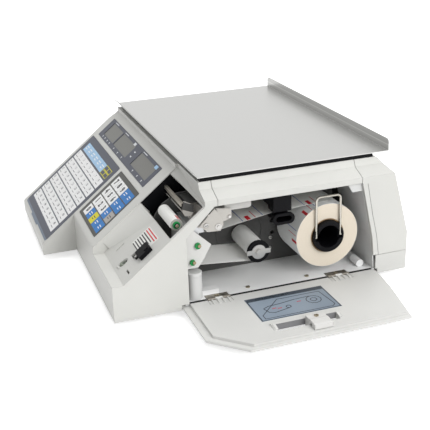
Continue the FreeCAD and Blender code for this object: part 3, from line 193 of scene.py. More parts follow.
def pan_steel_painted_shade():
    """Brushed steel; painted shade darkens the upstand and the bend at its foot, and a paler line
    across the upstand is a painted highlight.
    """
    material = metal("pan steel with painted shade", (0.64, 0.64, 0.625), 0.34, (5.0, 700.0, 700.0), 0.03)
    tree = material.node_tree
    bsdf = tree.nodes["Principled BSDF"]
    plain = bsdf.inputs["Base Color"].links[0].from_socket
    split = tree.nodes.new("ShaderNodeSeparateXYZ")
    link(tree, coordinates(tree), split.inputs["Vector"])
    height = tree.nodes.new("ShaderNodeMapRange")
    height.inputs["From Min"].default_value = PAN_TOP / 1000
    height.inputs["From Max"].default_value = UPSTAND_TOP / 1000
    link(tree, split.outputs["Z"], height.inputs["Value"])
    ramp = tree.nodes.new("ShaderNodeValToRGB")
    # Tone by height: painted shade at the bend and over the upstand, a painted highlight as the pale
    # stop at its middle.
    painted_shades = ((0.0, 1.0), (0.02, 0.58), (0.42, 0.73), (0.50, 0.98), (0.56, 0.70), (0.96, 0.77))
    while len(ramp.color_ramp.elements) < len(painted_shades):
        ramp.color_ramp.elements.new(0.5)
    for stop, (position, shade) in zip(ramp.color_ramp.elements, painted_shades):
        stop.position = position
        stop.color = (shade, shade, shade, 1)
    link(tree, height.outputs["Result"], ramp.inputs["Fac"])
    mix = tree.nodes.new("ShaderNodeMix")
    mix.data_type = "RGBA"
    mix.blend_type = "MULTIPLY"
    mix.inputs["Factor"].default_value = 1.0
    link(tree, plain, mix.inputs["A"])
    link(tree, ramp.outputs["Color"], mix.inputs["B"])
    link(tree, mix.outputs["Result"], bsdf.inputs["Base Color"])
    return material


def film(name, colour, rough=0.35, vary=0.03):
    """Printed polycarbonate film with its faint velvet finish."""
    return moulded(name, colour, rough, grain=5000.0, relief=0.05, vary=vary, edge=0.0, gloss=0.25)


def wound_paper(name, edge_colour, line_colour, face_colour, centre, radius):
    """Paper wound on a core: rings on the cut faces, plain paper round the outside."""
    material, tree, bsdf = shader(name)
    offset = (0, -(centre[0] + ORIGIN[1]) / 1000, -centre[1] / 1000)
    mapping = coordinates(tree, (0, 1, 1), offset)
    length = tree.nodes.new("ShaderNodeVectorMath")
    length.operation = "LENGTH"
    link(tree, mapping, length.inputs[0])
    rings = tree.nodes.new("ShaderNodeTexNoise")
    rings.noise_dimensions = "1D"
    rings.inputs["Scale"].default_value = 2600.0
    rings.inputs["Detail"].default_value = 4.0
    link(tree, length.outputs["Value"], rings.inputs["W"])
    outside = tree.nodes.new("ShaderNodeMath")
    outside.operation = "GREATER_THAN"
    outside.inputs[1].default_value = radius / 1000 - 0.0002
    link(tree, length.outputs["Value"], outside.inputs[0])
    mix = tree.nodes.new("ShaderNodeMix")
    mix.data_type = "RGBA"
    mix.inputs["B"].default_value = (*face_colour, 1)
    link(tree, outside.outputs["Value"], mix.inputs["Factor"])
    link(tree, colour_between(tree, rings.outputs["Fac"], line_colour, edge_colour), mix.inputs["A"])
    link(tree, mix.outputs["Result"], bsdf.inputs["Base Color"])
    bsdf.inputs["Roughness"].default_value = 0.75
    bump(tree, bsdf, rings.outputs["Fac"], 0.15, 0.0002, 0.0002)
    return material


HOUSING = moulded("housing plastic", (0.645, 0.645, 0.615), 0.42)
BASE = moulded("base plastic", (0.64, 0.64, 0.615), 0.48)
BAY = moulded("bay plastic", (0.66, 0.665, 0.655), 0.45)
BAY_FLOOR = moulded("bay floor plastic", (0.85, 0.855, 0.85), 0.5, gloss=0.25)
DOOR = moulded("door plastic", (0.69, 0.69, 0.67), 0.36)
WHITE = moulded("white plastic", (0.70, 0.695, 0.675), 0.40)
# Black plastic; also the black sheets and strips of painted shade.
BLACK = moulded("black plastic and painted shade", (0.004, 0.004, 0.005), 0.5, relief=0.12, gloss=0.12)
# Black rubber; also the dark strip of painted shade along the door's hinge line.
RUBBER_AND_SHADE = moulded("black rubber and painted shade", (0.015, 0.015, 0.015), 0.75, grain=900.0, relief=0.25, gloss=0.2)
# Outlet roller grey, darkened as painted shade of the outlet recess.
ROLLER_SHADE_GREY = moulded("roller grey darkened as painted shade", (0.44, 0.435, 0.40), 0.5)
CHASSIS = moulded("chassis paint", (0.085, 0.085, 0.083), 0.5, grain=1200.0, relief=0.2, gloss=0.25)
MOTOR = moulded("motor paint", (0.05, 0.05, 0.055), 0.45)
SEAM = moulded("seam shadow", (0.27, 0.27, 0.26), 0.7)
# Stand paint; also the dark strip of painted shade inside the latch slot.
STAND_PAINT_AND_SHADE = moulded("stand paint and painted shade", (0.25, 0.25, 0.26), 0.5)
SUPPLY = moulded("supply case", (0.45, 0.45, 0.45), 0.45)
BOARD = moulded("circuit board", (0.02, 0.17, 0.07), 0.4, grain=400.0)
GREEN = moulded("green plastic", (0.006, 0.25, 0.055), 0.35)
RELEASE = moulded("release plate paint", (0.62, 0.61, 0.585), 0.45)
HINGE = metal("hinge steel", (0.42, 0.39, 0.34), 0.45)
# Plated steel; also the pale strip of painted highlight on the outlet's end plate.
PLATED_AND_HIGHLIGHT = moulded("plated steel and painted highlight", (0.54, 0.52, 0.485), 0.3, grain=300.0, relief=0.05)
BRONZE = metal("bronze", (0.42, 0.33, 0.22), 0.35)
VIAL_GLASS = moulded("vial glass", (0.22, 0.25, 0.20), 0.08)
LENS = moulded("lens", (0.05, 0.06, 0.05), 0.06)
VIAL = moulded("vial plastic", (0.30, 0.33, 0.27), 0.18)
SLATE = film("slate film", (0.068, 0.076, 0.105))
LCD = film("display glass", (0.19, 0.19, 0.175), 0.3)
KEYPAD = film("keypad film", (0.062, 0.062, 0.055))
KEY_WHITE = film("white key", (0.94, 0.94, 0.94), vary=0.01)
KEY_PALE = film("pale blue key", (0.40, 0.62, 0.86))
KEY_BLUE = film("blue key", (0.014, 0.19, 0.55))
KEY_YELLOW = film("yellow key", (0.76, 0.69, 0.005))
KEY_GREY = film("grey key", (0.42, 0.40, 0.38))
INK = film("dark ink", (0.018, 0.018, 0.022))
INK_WHITE = film("white ink", (0.80, 0.82, 0.84))
INK_RED = film("red ink", (0.62, 0.020, 0.030))
INK_BLUE = film("blue ink", (0.10, 0.16, 0.42))
TAB = film("tab film", (0.16, 0.20, 0.26))
INK_GREY = film("grey ink", (0.09, 0.09, 0.10))
DIAGRAM = film("diagram film", (0.27, 0.325, 0.39), 0.3, vary=0.12)
DIAGRAM_DARK = film("diagram band", (0.060, 0.075, 0.095), 0.3)
PAPER = moulded("label paper", (0.86, 0.86, 0.83), 0.6, grain=2500.0, relief=0.06, edge=0.0)
LINER = moulded("liner paper", (0.90, 0.90, 0.88), 0.45, grain=2500.0, relief=0.05, edge=0.0)
CARD = moulded("core card", (0.30, 0.20, 0.11), 0.8, grain=700.0, relief=0.3)
ROLL = wound_paper("wound labels", (0.79, 0.715, 0.605), (0.72, 0.64, 0.52), (0.84, 0.85, 0.84),
                   ROLL_YZ, ROLL_R)
PAN = pan_steel_painted_shade()
STEEL = metal("steel", (0.58, 0.57, 0.55), 0.32)
NICKEL = metal("nickel wire", (0.50, 0.48, 0.43), 0.22, (40.0, 40.0, 900.0))
ALUMINIUM = metal("aluminium", (0.62, 0.63, 0.64), 0.42)
BRASS = metal("dull brass", (0.50, 0.44, 0.33), 0.4)

FINISHES = {
    HOUSING: ["front_housing", "top_cover", "rear_cover"],
    BASE: ["base_tray"],
    BAY: ["bay_rear_wall"],
    BAY_FLOOR: ["bay_floor"],
    DOOR: ["side_door", "hinge_door_leaves"],
    WHITE: ["roller_side_plate", "door_latch"],
    BLACK: ["label_taken_sensor", "gap_sensor", "web_guide", "supply_hub", "take_up_spool",
            "platen_gear", "power_inlet", "power_rocker"],
    RUBBER_AND_SHADE: ["platen_roller", "take_up_belt", "foot_front_left", "foot_front_right", "foot_rear_left",
             "foot_rear_right"],
    ROLLER_SHADE_GREY: ["outlet_roller"],
    CHASSIS: ["printer_chassis"],
    MOTOR: ["stepper_motor"],
    STAND_PAINT_AND_SHADE: ["load_cell_stand"],
    SUPPLY: ["power_supply"],
    BOARD: ["display_board", "key_boards", "main_board"],
    GREEN: ["bearing_caps"],
    VIAL: ["spirit_level"],
    SLATE: ["display_panel", "preset_key_overlay"],
    LCD: ["lcd_modules"],
    KEYPAD: ["number_key_overlay"],
    DIAGRAM: ["door_guide_plate"],
    PAPER: ["label_web"],
    LINER: ["liner_web", "liner_wrap"],
    CARD: ["roll_core"],
    ROLL: ["label_roll"],
    PAN: ["weighing_pan"],
    STEEL: ["platen_shaft", "motor_pinion", "head_pivot_shaft", "head_spring", "spool_clip",
            "liner_roller"],
    HINGE: ["hinge_base_leaves"],
    RELEASE: ["head_release_plate"],
    PLATED_AND_HIGHLIGHT: ["head_arm"],
    NICKEL: ["roll_bail"],
    ALUMINIUM: ["pan_support", "load_cell", "print_head"],
    BRASS: ["floor_screws", "latch_screw"],
}
for finish, names in FINISHES.items():
    for name in names:
        nodes[name].data.materials.clear()
        nodes[name].data.materials.append(finish)


# Axes for turned details: distance along the axis, then two offsets across it

def about_x(y, z):
    """Axis along x through a point."""
    return lambda d, u, v: place(d, y + u, z + v)


def about_z(x, y):
    """Axis along z through a point."""
    return lambda d, u, v: place(x + u, y + v, d)


# Mesh building

class Piece:
    """Collects closed solids with their materials into one mesh."""

    def __init__(self, *materials):
        self.bm = bmesh.new()
        self.materials = list(materials)

    def prism(self, low, high, material):
        """Solid between two loops of the same number of points."""
        first = [self.bm.verts.new(p) for p in low]
        second = [self.bm.verts.new(p) for p in high]
        count = len(low)
        faces = [self.bm.faces.new(first[::-1]), self.bm.faces.new(second)]
        for i in range(count):
            j = (i + 1) % count
            faces.append(self.bm.faces.new((first[i], first[j], second[j], second[i])))
        for face in faces:
            face.material_index = self.materials.index(material)

    def extrude(self, to_scene, outline, low, high, material):
        """Solid that draws an outline out from one level to another; to_scene takes (a, b, level)."""
        first = [to_scene(a, b, low) for a, b in outline]
        second = [to_scene(a, b, high) for a, b in outline]
        self.prism(first, second, material)

    def slope_plate(self, x0, x1, s0, s1, n0, n1, material, radius=0.8):
        """Plate with rounded corners on the keyboard slope."""
        self.extrude(on_slope, rounded(x0, x1, s0, s1, radius), n0, n1, material)

    def lathe(self, to_scene, profile, material, turns=20):
        """Solid of revolution; profile is (distance along the axis, radius) from end to end."""
        rings = []
        for d, r in profile:
            angles = [2 * math.pi * i / turns for i in range(turns)]
            rings.append([to_scene(d, r * math.cos(a), r * math.sin(a)) for a in angles])
        self.tube(rings, material)

    def tube(self, rings, material):
        """Closed solid through rings of points."""
        for first, second in zip(rings, rings[1:]):
            self.band(first, second, material)
        for ring in (rings[0][::-1], rings[-1]):
            face = self.bm.faces.new([self.bm.verts.new(p) for p in ring])
            face.material_index = self.materials.index(material)

    def band(self, first, second, material):
        """Faces between two rings of points."""
        count = len(first)
        low = [self.bm.verts.new(p) for p in first]
        high = [self.bm.verts.new(p) for p in second]
        for i in range(count):
            j = (i + 1) % count
            face = self.bm.faces.new((low[i], low[j], high[j], high[i]))
            face.material_index = self.materials.index(material)

    def screw_head(self, to_scene, base, radius, height, material, slot_material):
        """Slotted pan head standing on the base distance of its axis."""
        top = base + height
        profile = [(base - 0.1, radius), (top - height * 0.4, radius), (top, radius * 0.7)]
        self.lathe(to_scene, profile, material)
        half_l, half_w = radius * 0.65, radius * 0.14
        slot = [(-half_l, -half_w), (half_l, -half_w), (half_l, half_w), (-half_l, half_w)]
        self.extrude(lambda u, v, d: to_scene(d, u, v), slot, top - 0.2, top + 0.05, slot_material)

    def ribbon(self, to_scene, points, width, material):
        """Thin line through the points, of even width; to_scene takes (u, v, layer 0 or 1)."""
        for (u0, v0), (u1, v1) in zip(points, points[1:]):
            length = math.hypot(u1 - u0, v1 - v0)
            du, dv = (u1 - u0) / length * width / 2, (v1 - v0) / length * width / 2
            corners = [(u0 - du - dv, v0 - dv + du), (u0 - du + dv, v0 - dv - du),
                       (u1 + du + dv, v1 + dv - du), (u1 + du - dv, v1 + dv + du)]
            self.extrude(to_scene, corners, 0.0, 1.0, material)

    def text(self, words, size, to_scene, material, weight=0.0):
        """Flat figures; to_scene turns a point of the text (millimetres) into a scene point."""
        curve = bpy.data.curves.new("figures", "FONT")
        curve.body = words
        curve.size = size
        curve.offset = weight
        curve.align_x = "CENTER"
        curve.align_y = "CENTER"
        curve.resolution_u = 2
        holder = bpy.data.objects.new("figures", curve)
        mesh = bpy.data.meshes.new_from_object(holder)
        before = len(self.bm.faces)
        start = len(self.bm.verts)
        self.bm.from_mesh(mesh)
        self.bm.verts.ensure_lookup_table()
        self.bm.faces.ensure_lookup_table()
        for v in self.bm.verts[start:]:
            v.co = to_scene(v.co.x, v.co.y)
        for f in self.bm.faces[before:]:
            f.material_index = self.materials.index(material)
        bpy.data.objects.remove(holder)
        bpy.data.meshes.remove(mesh)
        bpy.data.curves.remove(curve)

    def done(self, name, body, smooth=False):
        """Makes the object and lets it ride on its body."""
        bmesh.ops.remove_doubles(self.bm, verts=self.bm.verts, dist=1e-7)
        bmesh.ops.recalc_face_normals(self.bm, faces=self.bm.faces)
        mesh = bpy.data.meshes.new(name)
        self.bm.to_mesh(mesh)
        self.bm.free()
        for material in self.materials:
            mesh.materials.append(material)
        piece = bpy.data.objects.new(name, mesh)
        bpy.context.scene.collection.objects.link(piece)
        if smooth:
            mesh.shade_smooth()
            mesh.set_sharp_from_angle(angle=math.radians(35))
        if body:
            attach(piece, body)
        return piece


def rounded(x0, x1, s0, s1, radius, steps=3):
    """Outline of a rectangle with rounded corners."""
    corners = [(x1 - radius, s1 - radius, 0), (x0 + radius, s1 - radius, 90),
               (x0 + radius, s0 + radius, 180), (x1 - radius, s0 + radius, 270)]
    outline = []
    for x, s, start in corners:
        for i in range(steps + 1):
            a = math.radians(start + 90 * i / steps)
            outline.append((x + radius * math.cos(a), s + radius * math.sin(a)))
    return outline


# Keyboard films
KEY_BASE = FILM_N - 0.05       # underside of the key faces, just inside the film
KEY_N = FILM_N + 0.12          # top of the key faces
MARK_N = KEY_N + 0.04          # top of the print on them


def slope_figures(x, s):
    """Where figures centred on a point of the keyboard go."""
    return lambda u, v: on_slope(x + u, s - v, MARK_N)


def rule(piece, x0, x1, s0, s1, material):
    """Printed bar on a key."""
    piece.slope_plate(x0, x1, s0, s1, KEY_N - 0.02, MARK_N, material, 0.2)


def line_cut(row, column):
    """What a key's ruled line falls short by; it differs from key to key."""
    return (row * 3 + column * 5) % 4 * 1.6


def preset_keys():
    """Numbered preset keys, the pale row above them, four framed keys and the film's pull tab."""
    piece = Piece(KEY_WHITE, KEY_PALE, KEY_YELLOW, SLATE, TAB, INK_GREY)
    columns, rows = 8, 6
    x0, x1, s0, s1 = -186.5, -29.5, 80.7, 181.3
    pitch_x, pitch_s = (x1 - x0) / columns, (s1 - s0) / rows
    for row in range(rows):
        for column in range(columns):
            x, s = x0 + column * pitch_x, s0 + row * pitch_s
            number = str(row * columns + column + 1)
            piece.slope_plate(x + 0.25, x + pitch_x - 0.25, s + 0.9, s + pitch_s - 0.9,
                              KEY_BASE, KEY_N, KEY_WHITE, 0.4)
            piece.text(number, 6.0, slope_figures(x + 5.6, s + 5.6), INK_GREY, 0.1)
            line_end = x + pitch_x - 4 - line_cut(row, column)
            rule(piece, x + 2.5, line_end, s + 10.8, s + 11.6, INK_GREY)
    pale_x0, pale_pitch = -180.3, 19.7
    for i in range(6):
        x = pale_x0 + i * pale_pitch
        piece.slope_plate(x + 0.3, x + pale_pitch - 0.3, 64.2, 78.6, KEY_BASE, KEY_N, KEY_PALE, 0.4)
        rule(piece, x + 4, x + 15.5, 68.6, 70.0, KEY_WHITE)
        rule(piece, x + 4, x + 12.5, 72.6, 74.0, KEY_WHITE)
    framed_x0, framed_s0, framed_w, framed_d, gap, border = -61.6, 63.9, 14.6, 7.2, 0.4, 0.9
    for i in range(2):
        for j in range(2):
            x, s = framed_x0 + i * (framed_w + gap), framed_s0 + j * (framed_d + gap)
            piece.slope_plate(x, x + framed_w, s, s + framed_d, KEY_BASE, KEY_N, KEY_YELLOW, 0.4)
            rule(piece, x + border, x + framed_w - border, s + border, s + framed_d - border, SLATE)
    tab = [(-193.5, 190.6), (-21.5, 190.6), (-23.0, 193.6), (-86.0, 193.6),
           (-90.0, 195.8), (-134.0, 195.8), (-138.0, 193.6), (-191.5, 193.6)]
    piece.extrude(on_slope, tab, 0.0, FILM_N + 0.1, TAB)
    piece.done("preset_keys", "housing")


def number_keys():
    """Number block: white keys with figures, coloured keys with ruled lines."""
    piece = Piece(KEY_WHITE, KEY_BLUE, KEY_YELLOW, KEY_GREY, INK)
    layout = [("7", "8", "9", KEY_BLUE, KEY_BLUE), ("4", "5", "6", KEY_BLUE, KEY_BLUE),
              ("1", "2", "3", KEY_BLUE, KEY_GREY), ("0", KEY_BLUE, KEY_YELLOW, KEY_BLUE, KEY_BLUE)]
    x0, s0, pitch_x, pitch_s = -3.2, 59.8, 16.7, 17.0
    for row, keys in enumerate(layout):
        for column, what in enumerate(keys):
            x, s = x0 + column * pitch_x, s0 + row * pitch_s
            number = what if isinstance(what, str) else None
            finish = KEY_WHITE if number else what
            piece.slope_plate(x + 0.3, x + pitch_x - 0.3, s + 0.8, s + pitch_s - 0.8,
                              KEY_BASE, KEY_N, finish)
            if number:
                piece.text(number, 11.5, slope_figures(x + pitch_x / 2, s + pitch_s / 2), INK, 0.65)
            else:
                mark = INK if what in (KEY_YELLOW, KEY_GREY) else KEY_WHITE
                rule(piece, x + 4.5, x + 12.2, s + 6.2, s + 7.4, mark)
                rule(piece, x + 4.5, x + 10.2, s + 9.6, s + 10.8, mark)
    piece.done("number_keys", "housing")


WINDOW_STARTS = (-166.0, -107.0, -8.0)
ARROWS_X = (-161, -148, -134, -120.5, -92.5, -70, -47, 15, 38, 59)


def display_marks():
    """Ruled lines and two squares above the display windows, arrows below, two marks between."""
    piece = Piece(INK_WHITE, KEY_PALE)
    for x in WINDOW_STARTS:
        piece.slope_plate(x + 4, x + 9, 14.0, 15.2, KEY_BASE, KEY_N, INK_WHITE, 0.2)
        piece.slope_plate(x + 10, x + 22, 14.0, 15.2, KEY_BASE, KEY_N, INK_WHITE, 0.2)
    for x in ARROWS_X:
        arrow = [(x - 1.8, 41.0), (x + 1.8, 41.0), (x, 44.2)]
        piece.extrude(on_slope, arrow, KEY_BASE, KEY_N, INK_WHITE)
    piece.slope_plate(-50, -41, 13.9, 18.2, KEY_BASE, KEY_N, INK_WHITE, 0.5)
    piece.slope_plate(57, 67, 14.0, 19.0, KEY_BASE, KEY_N, KEY_PALE, 0.5)
    for s in (23.6, 31.8):
        piece.slope_plate(-27.5, -22.5, s - 1.0, s + 1.0, KEY_BASE, KEY_N, INK_WHITE, 0.3)
    piece.done("display_marks", "housing")


preset_keys()
number_keys()
display_marks()


# Outlet ledge

def ledge_sticker():
    """Sticker with ruled lines, the first two of them red."""
    piece = Piece(PAPER, INK, INK_RED)
    base = LEDGE_N - 0.05
    piece.slope_plate(138.5, 178.0, 70.5, 100.0, base, LEDGE_N + 0.15, PAPER, 0.8)
    pitch = 3.7
    for i in range(8):
        s = 72.2 + i * pitch
        ink, end = (INK_RED, 176.0) if i < 2 else (INK, 171.0)
        piece.slope_plate(140.5, end, s, s + 1.5, base, LEDGE_N + 0.2, ink, 0.2)
    piece.done("ledge_sticker", "housing")


ledge_sticker()


def ledge_details():
    """Bubble and ring of the spirit level, and the window and clamp of the sensor."""
    piece = Piece(BLACK, STEEL, VIAL_GLASS, INK, LENS)
    level = about_z(*LEVEL_XY)
    piece.lathe(level, [(57.2, 4.7), (60.6, 4.7), (61.0, 4.3)], VIAL_GLASS)
    piece.lathe(level, [(60.9, 2.0), (61.2, 2.0), (61.3, 1.5)], LENS)
    piece.slope_plate(173, 186, 86.5, 92.0, LEDGE_N + 4.5, LEDGE_N + 6.2, BLACK, 0.6)
    piece.slope_plate(175, 184, 84.2, 84.9, LEDGE_N + 1.0, LEDGE_N + 4.0, LENS, 0.3)
    piece.slope_plate(172, 178, 101.0, 106.5, LEDGE_N - 0.1, LEDGE_N + 2.2, BLACK, 1.0)
    piece.screw_head(lambda n, u, v: on_slope(175 + u, 104 + v, n), LEDGE_N + 2.2, 1.8, 1.0, STEEL, INK)
    piece.done("ledge_details", "housing")


ledge_details()


# Printer details
ROLL_PITCH = 54.5              # degrees from one label to the next round the roll
FIRST_BAR = 131.0              # degrees to the printed bar of the first label


def roll_patch(piece, x0, x1, start, end, material, centre=ROLL_YZ, radius=ROLL_R):
    """Printed patch lying on the outside of a roll between two angles in degrees."""
    steps = 4
    low, high = [], []
    for r, loop in ((radius - 0.05, low), (radius + 0.08, high)):
        edge = []
        for i in range(steps + 1):
            a = math.radians(start + (end - start) * i / steps)
            edge.append((centre[0] + r * math.cos(a), centre[1] + r * math.sin(a)))
        loop += [place(x0, y, z) for y, z in edge] + [place(x1, y, z) for y, z in edge[::-1]]
    for i in range(steps):
        j = 2 * steps + 1 - i
        corners = (i, i + 1, j - 1, j)
        piece.prism([low[k] for k in corners], [high[k] for k in corners], material)


def roll_print():
    """Print on the outside of the roll: a red bar and line on each label, a blue line between."""
    piece = Piece(INK_RED, INK_BLUE)
    for i in range(6):
        bar = FIRST_BAR + i * ROLL_PITCH
        roll_patch(piece, 176, 189.6, bar - 2.5, bar + 2.5, INK_RED)
        roll_patch(piece, 166, 188, bar - 12.5, bar - 11.6, INK_RED)
        roll_patch(piece, 134, 186, bar - 21.4, bar - 20.4, INK_BLUE)
    piece.done("roll_print", "supply_roll")


def on_web(x, y, out):
    """Point on the label web between the print head and the roll."""
    path = [(-25.0, 93.0), (41.5, 103.95), (54.5, 103.95), (101.0, 106.6)]
    for (y0, z0), (y1, z1) in zip(path, path[1:]):
        if y <= y1:
            return place(x, y, z0 + (z1 - z0) * (y - y0) / (y1 - y0) + out)
    return place(x, y, path[-1][1] + out)


def web_print():
    """The same print on the label strip, and a bar where it wraps the outlet roller."""
    piece = Piece(INK_RED, INK_BLUE)

    def patch(x0, x1, y0, y1, material):
        corners = [(x0, y0), (x1, y0), (x1, y1), (x0, y1)]
        piece.extrude(on_web, corners, 0.05, 0.22, material)

    for bar in (9.0, 88.5):
        patch(168.5, 180.8, bar - 2.4, bar + 2.4, INK_RED)
        patch(158, 180, bar + 8.0, bar + 8.8, INK_RED)
        patch(134, 180, bar - 8.0, bar - 7.2, INK_BLUE)
    patch(134, 180, 26.0, 26.8, INK_BLUE)
    roll_patch(piece, 168.5, 180.8, 35.0, 75.0, INK_RED, OUTLET_ROLLER_YZ, OUTLET_WEB_R)
    piece.done("web_print", "housing")


def bearing_details():
    """Shaft ends seen past the green caps, and screws in the chassis plate."""
    piece = Piece(BRONZE, STEEL, INK)
    for y, z in (PLATEN_YZ, LINER_ROLLER_YZ):
        profile = [(PLATE_X1 + 2.8, 2.1), (PLATE_X1 + 4.2, 2.1), (PLATE_X1 + 4.6, 1.6)]
        piece.lathe(about_x(y + 1.4, z + 0.3), profile, BRONZE)
    for y, z in ((59.0, 45.4), (58.0, 31.1)):
        piece.screw_head(about_x(y, z), CHASSIS_FACE, 2.4, 1.4, STEEL, INK)
    piece.done("bearing_details", "housing")


def outlet_cap():
    """Green cap, dark washer and shaft end of the outlet roller."""
    piece = Piece(GREEN, BLACK, BRONZE)
    centre = about_x(*OUTLET_ROLLER_YZ)
    piece.lathe(centre, [(181.0, 4.4), (183.0, 4.4), (183.6, 3.8)], GREEN)
    piece.lathe(centre, [(183.5, 3.0), (184.2, 3.0), (184.4, 2.7)], BLACK)
    piece.lathe(centre, [(184.3, 1.6), (185.6, 1.6), (186.0, 1.2)], BRONZE)
    piece.done("outlet_cap", "outlet")


def head_details():
    """Screws of the head arm, and the bent tongue that keeps the release plate."""
    piece = Piece(STEEL, INK, PLATED_AND_HIGHLIGHT)
    piece.screw_head(about_x(-48.6, 105.0), PLATE_X1, 3.0, 1.6, STEEL, INK)
    pivot = [(PLATE_X1, 4.2), (PLATE_X1 + 0.8, 4.2), (PLATE_X1 + 1.0, 3.8)]
    piece.lathe(about_x(*HEAD_PIVOT_YZ), pivot, STEEL)
    tongue = [(-36.0, 124.0), (-18.5, 121.5), (-17.0, 119.5),
              (-17.0, 111.0), (-19.5, 108.5), (-28.5, 106.0)]
    piece.extrude(across, tongue, 190.6, 191.8, PLATED_AND_HIGHLIGHT)
    piece.lathe(about_x(-19.6, 111.6), [(191.7, 2.2), (193.4, 2.2), (193.8, 1.7)], STEEL)
    piece.done("head_details", "head")


def peel_bar():
    """Bar and rail across the outlet, from the recess wall to an end plate beside the roller."""
    piece = Piece(HINGE, CHASSIS, PLATED_AND_HIGHLIGHT)
    wall_x, plate_x, plate_end = 103.8, 171.0, 172.4
    bar = [(-71.6, 124.4), (-70.4, 124.4), (-70.4, 127.8),
           (-68.2, 127.8), (-68.2, 129.0), (-71.6, 129.0)]
    rail = [(-70.0, 117.2), (-69.0, 117.2), (-69.0, 118.3), (-70.0, 118.3)]
    upper = [(-69.9, 120.6), (-56.8, 115.4), (-56.3, 124.0), (-60.4, 126.2), (-68.5, 130.2)]
    lower = [(-69.9, 117.2), (-67.4, 112.2), (-60.2, 111.1), (-56.8, 115.4), (-69.9, 120.6)]
    # Pale strip along the top edge of the end plate: a painted highlight.
    edge = [(-68.5, 130.2), (-60.4, 126.2), (-60.2, 126.9), (-68.3, 130.9)]
    for section, material in ((bar, HINGE), (rail, PLATED_AND_HIGHLIGHT)):
        piece.extrude(across, section, wall_x, plate_x, material)
    for section, material in ((upper, CHASSIS), (lower, PLATED_AND_HIGHLIGHT), (edge, PLATED_AND_HIGHLIGHT)):
        piece.extrude(across, section, plate_x, plate_end, material)
    piece.done("peel_bar", "housing")


def painted_shade_sheets():
    """Black sheets of painted shade: one on the wall beside the outlet, one closing the bay behind the
    roll.
    """
    piece = Piece(BLACK)
    wall_x, sheet = 103.7, 0.28
    outline = [(9.4, -0.8), (60.6, -0.8), (60.6, -21.0), (9.4, -24.0)]
    piece.extrude(lambda s, n, x: on_slope(x, s, n), outline, wall_x, wall_x + sheet, BLACK)
    shade = [(118.0, 60.0), (160.0, 60.0), (160.0, 131.0), (118.0, 131.0)]
    piece.extrude(across, shade, CHASSIS_FACE - 1.6, CHASSIS_FACE - 0.8, BLACK)
    piece.done("painted_shade_sheets", "housing")


def head_spring_coil():
    """Coil spring built in the box of the head spring part, which it hides."""
    low, high = (Vector(corner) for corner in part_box("head_spring"))
    wire_r, turns, steps, sides = 0.00045, 5, 24, 8
    coil_r = (high.x - low.x) / 2 - wire_r
    middle = (low + high) / 2
    rise = (high.z - low.z - 2 * wire_r) / (turns * steps)
    piece = Piece(STEEL)
    rings = []
    for i in range(turns * steps + 1):
        a = 2 * math.pi * i / steps
        ring = []
        for j in range(sides):
            b = 2 * math.pi * j / sides
            r = coil_r + wire_r * math.cos(b)
            z = low.z + wire_r + rise * i + wire_r * math.sin(b)
            ring.append((middle.x + r * math.cos(a), middle.y + r * math.sin(a), z))
        rings.append(ring)
    piece.tube(rings, STEEL)
    coil = piece.done("head_spring_coil", None, smooth=True)
    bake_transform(coil)
    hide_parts("head_spring")


def bay_details():
    """Sleeve on the post at the front of the bay floor, and a dark strip along the hinge line, painted
    shade of the gap there.
    """
    piece = Piece(BAY, RUBBER_AND_SHADE)
    post, turns = about_z(*POST_XY), 32
    piece.lathe(post, [(13.9, 9.0), (44.2, 9.0), (44.3, 8.9)], BAY, turns)
    piece.lathe(post, [(44.2, 9.3), (47.6, 9.3), (48.6, 8.3)], BAY, turns)
    # Dark strip along the hinge line: painted shade of the gap between the bay floor and the door.
    x0, x1, low, high = 197.8, 201.2, HINGE_Z - 0.05, HINGE_Z + 0.25
    strip = [(x0, low), (x1, low), (x1, high), (x0, high)]
    for y0, y1 in ((-78.0, -54.0), (-24.0, 103.0), (133.0, 164.0)):
        piece.extrude(lambda x, z, y: place(x, y, z), strip, y0, y1, RUBBER_AND_SHADE)
    piece.done("bay_details", "housing", smooth=True)


def frame_seam():
    """Seam on the side face that sets the frame of the doorway off from the rear cover."""
    piece = Piece(SEAM)
    seam = [(153.6, 129.5), (161.6, 88.0), (168.0, 60.0), (171.4, 33.6)]
    piece.ribbon(lambda y, z, layer: across(y, z, SIDE_X - 0.05 + 0.1 * layer), seam, 0.7, SEAM)
    piece.done("frame_seam", "housing")


head_spring_coil()
bay_details()
frame_seam()
painted_shade_sheets()
peel_bar()
roll_print()
web_print()
bearing_details()
outlet_cap()
head_details()


# Deck

def deck_gap_shade():
    """Black strip on the deck: painted shade in the gap under the pan."""
    piece = Piece(BLACK)
    x0, x1, y0, y1, width = -196.0, 179.0, -50.0, 172.0, 10.0
    low, high = DECK_Z - 0.1, PAN_TOP - 2.2
    inner_x0, inner_x1, inner_y0, inner_y1 = x0 + width, x1 - width, y0 + width, y1 - width
    sides = [[(x0, y0), (x1, y0), (inner_x1, inner_y0), (inner_x0, inner_y0)],
             [(x1, y0), (x1, y1), (inner_x1, inner_y1), (inner_x1, inner_y0)],
             [(x1, y1), (x0, y1), (inner_x0, inner_y1), (inner_x1, inner_y1)],
             [(x0, y1), (x0, y0), (inner_x0, inner_y0), (inner_x0, inner_y1)]]
    for side in sides:
        piece.extrude(place, side, low, high, BLACK)
    piece.done("deck_gap_shade", "housing")


deck_gap_shade()


# Open door: threading diagram, ribs over its hinge leaves, and the latch
HINGE_STARTS = (-53.0, 104.0)


def on_diagram(y, h, layer):
    """Point on the diagram plate; layer 0 lies just inside its face, 1 is the top of the print."""
    return on_door(h, y, 0.38 + 0.1 * layer)


def circle(y, h, radius, step):
    """Points round a circle of the diagram, a step of so many degrees apart."""
    angles = [math.radians(a) for a in range(0, 361, step)]
    return [(y + radius * math.cos(a), h + radius * math.sin(a)) for a in angles]


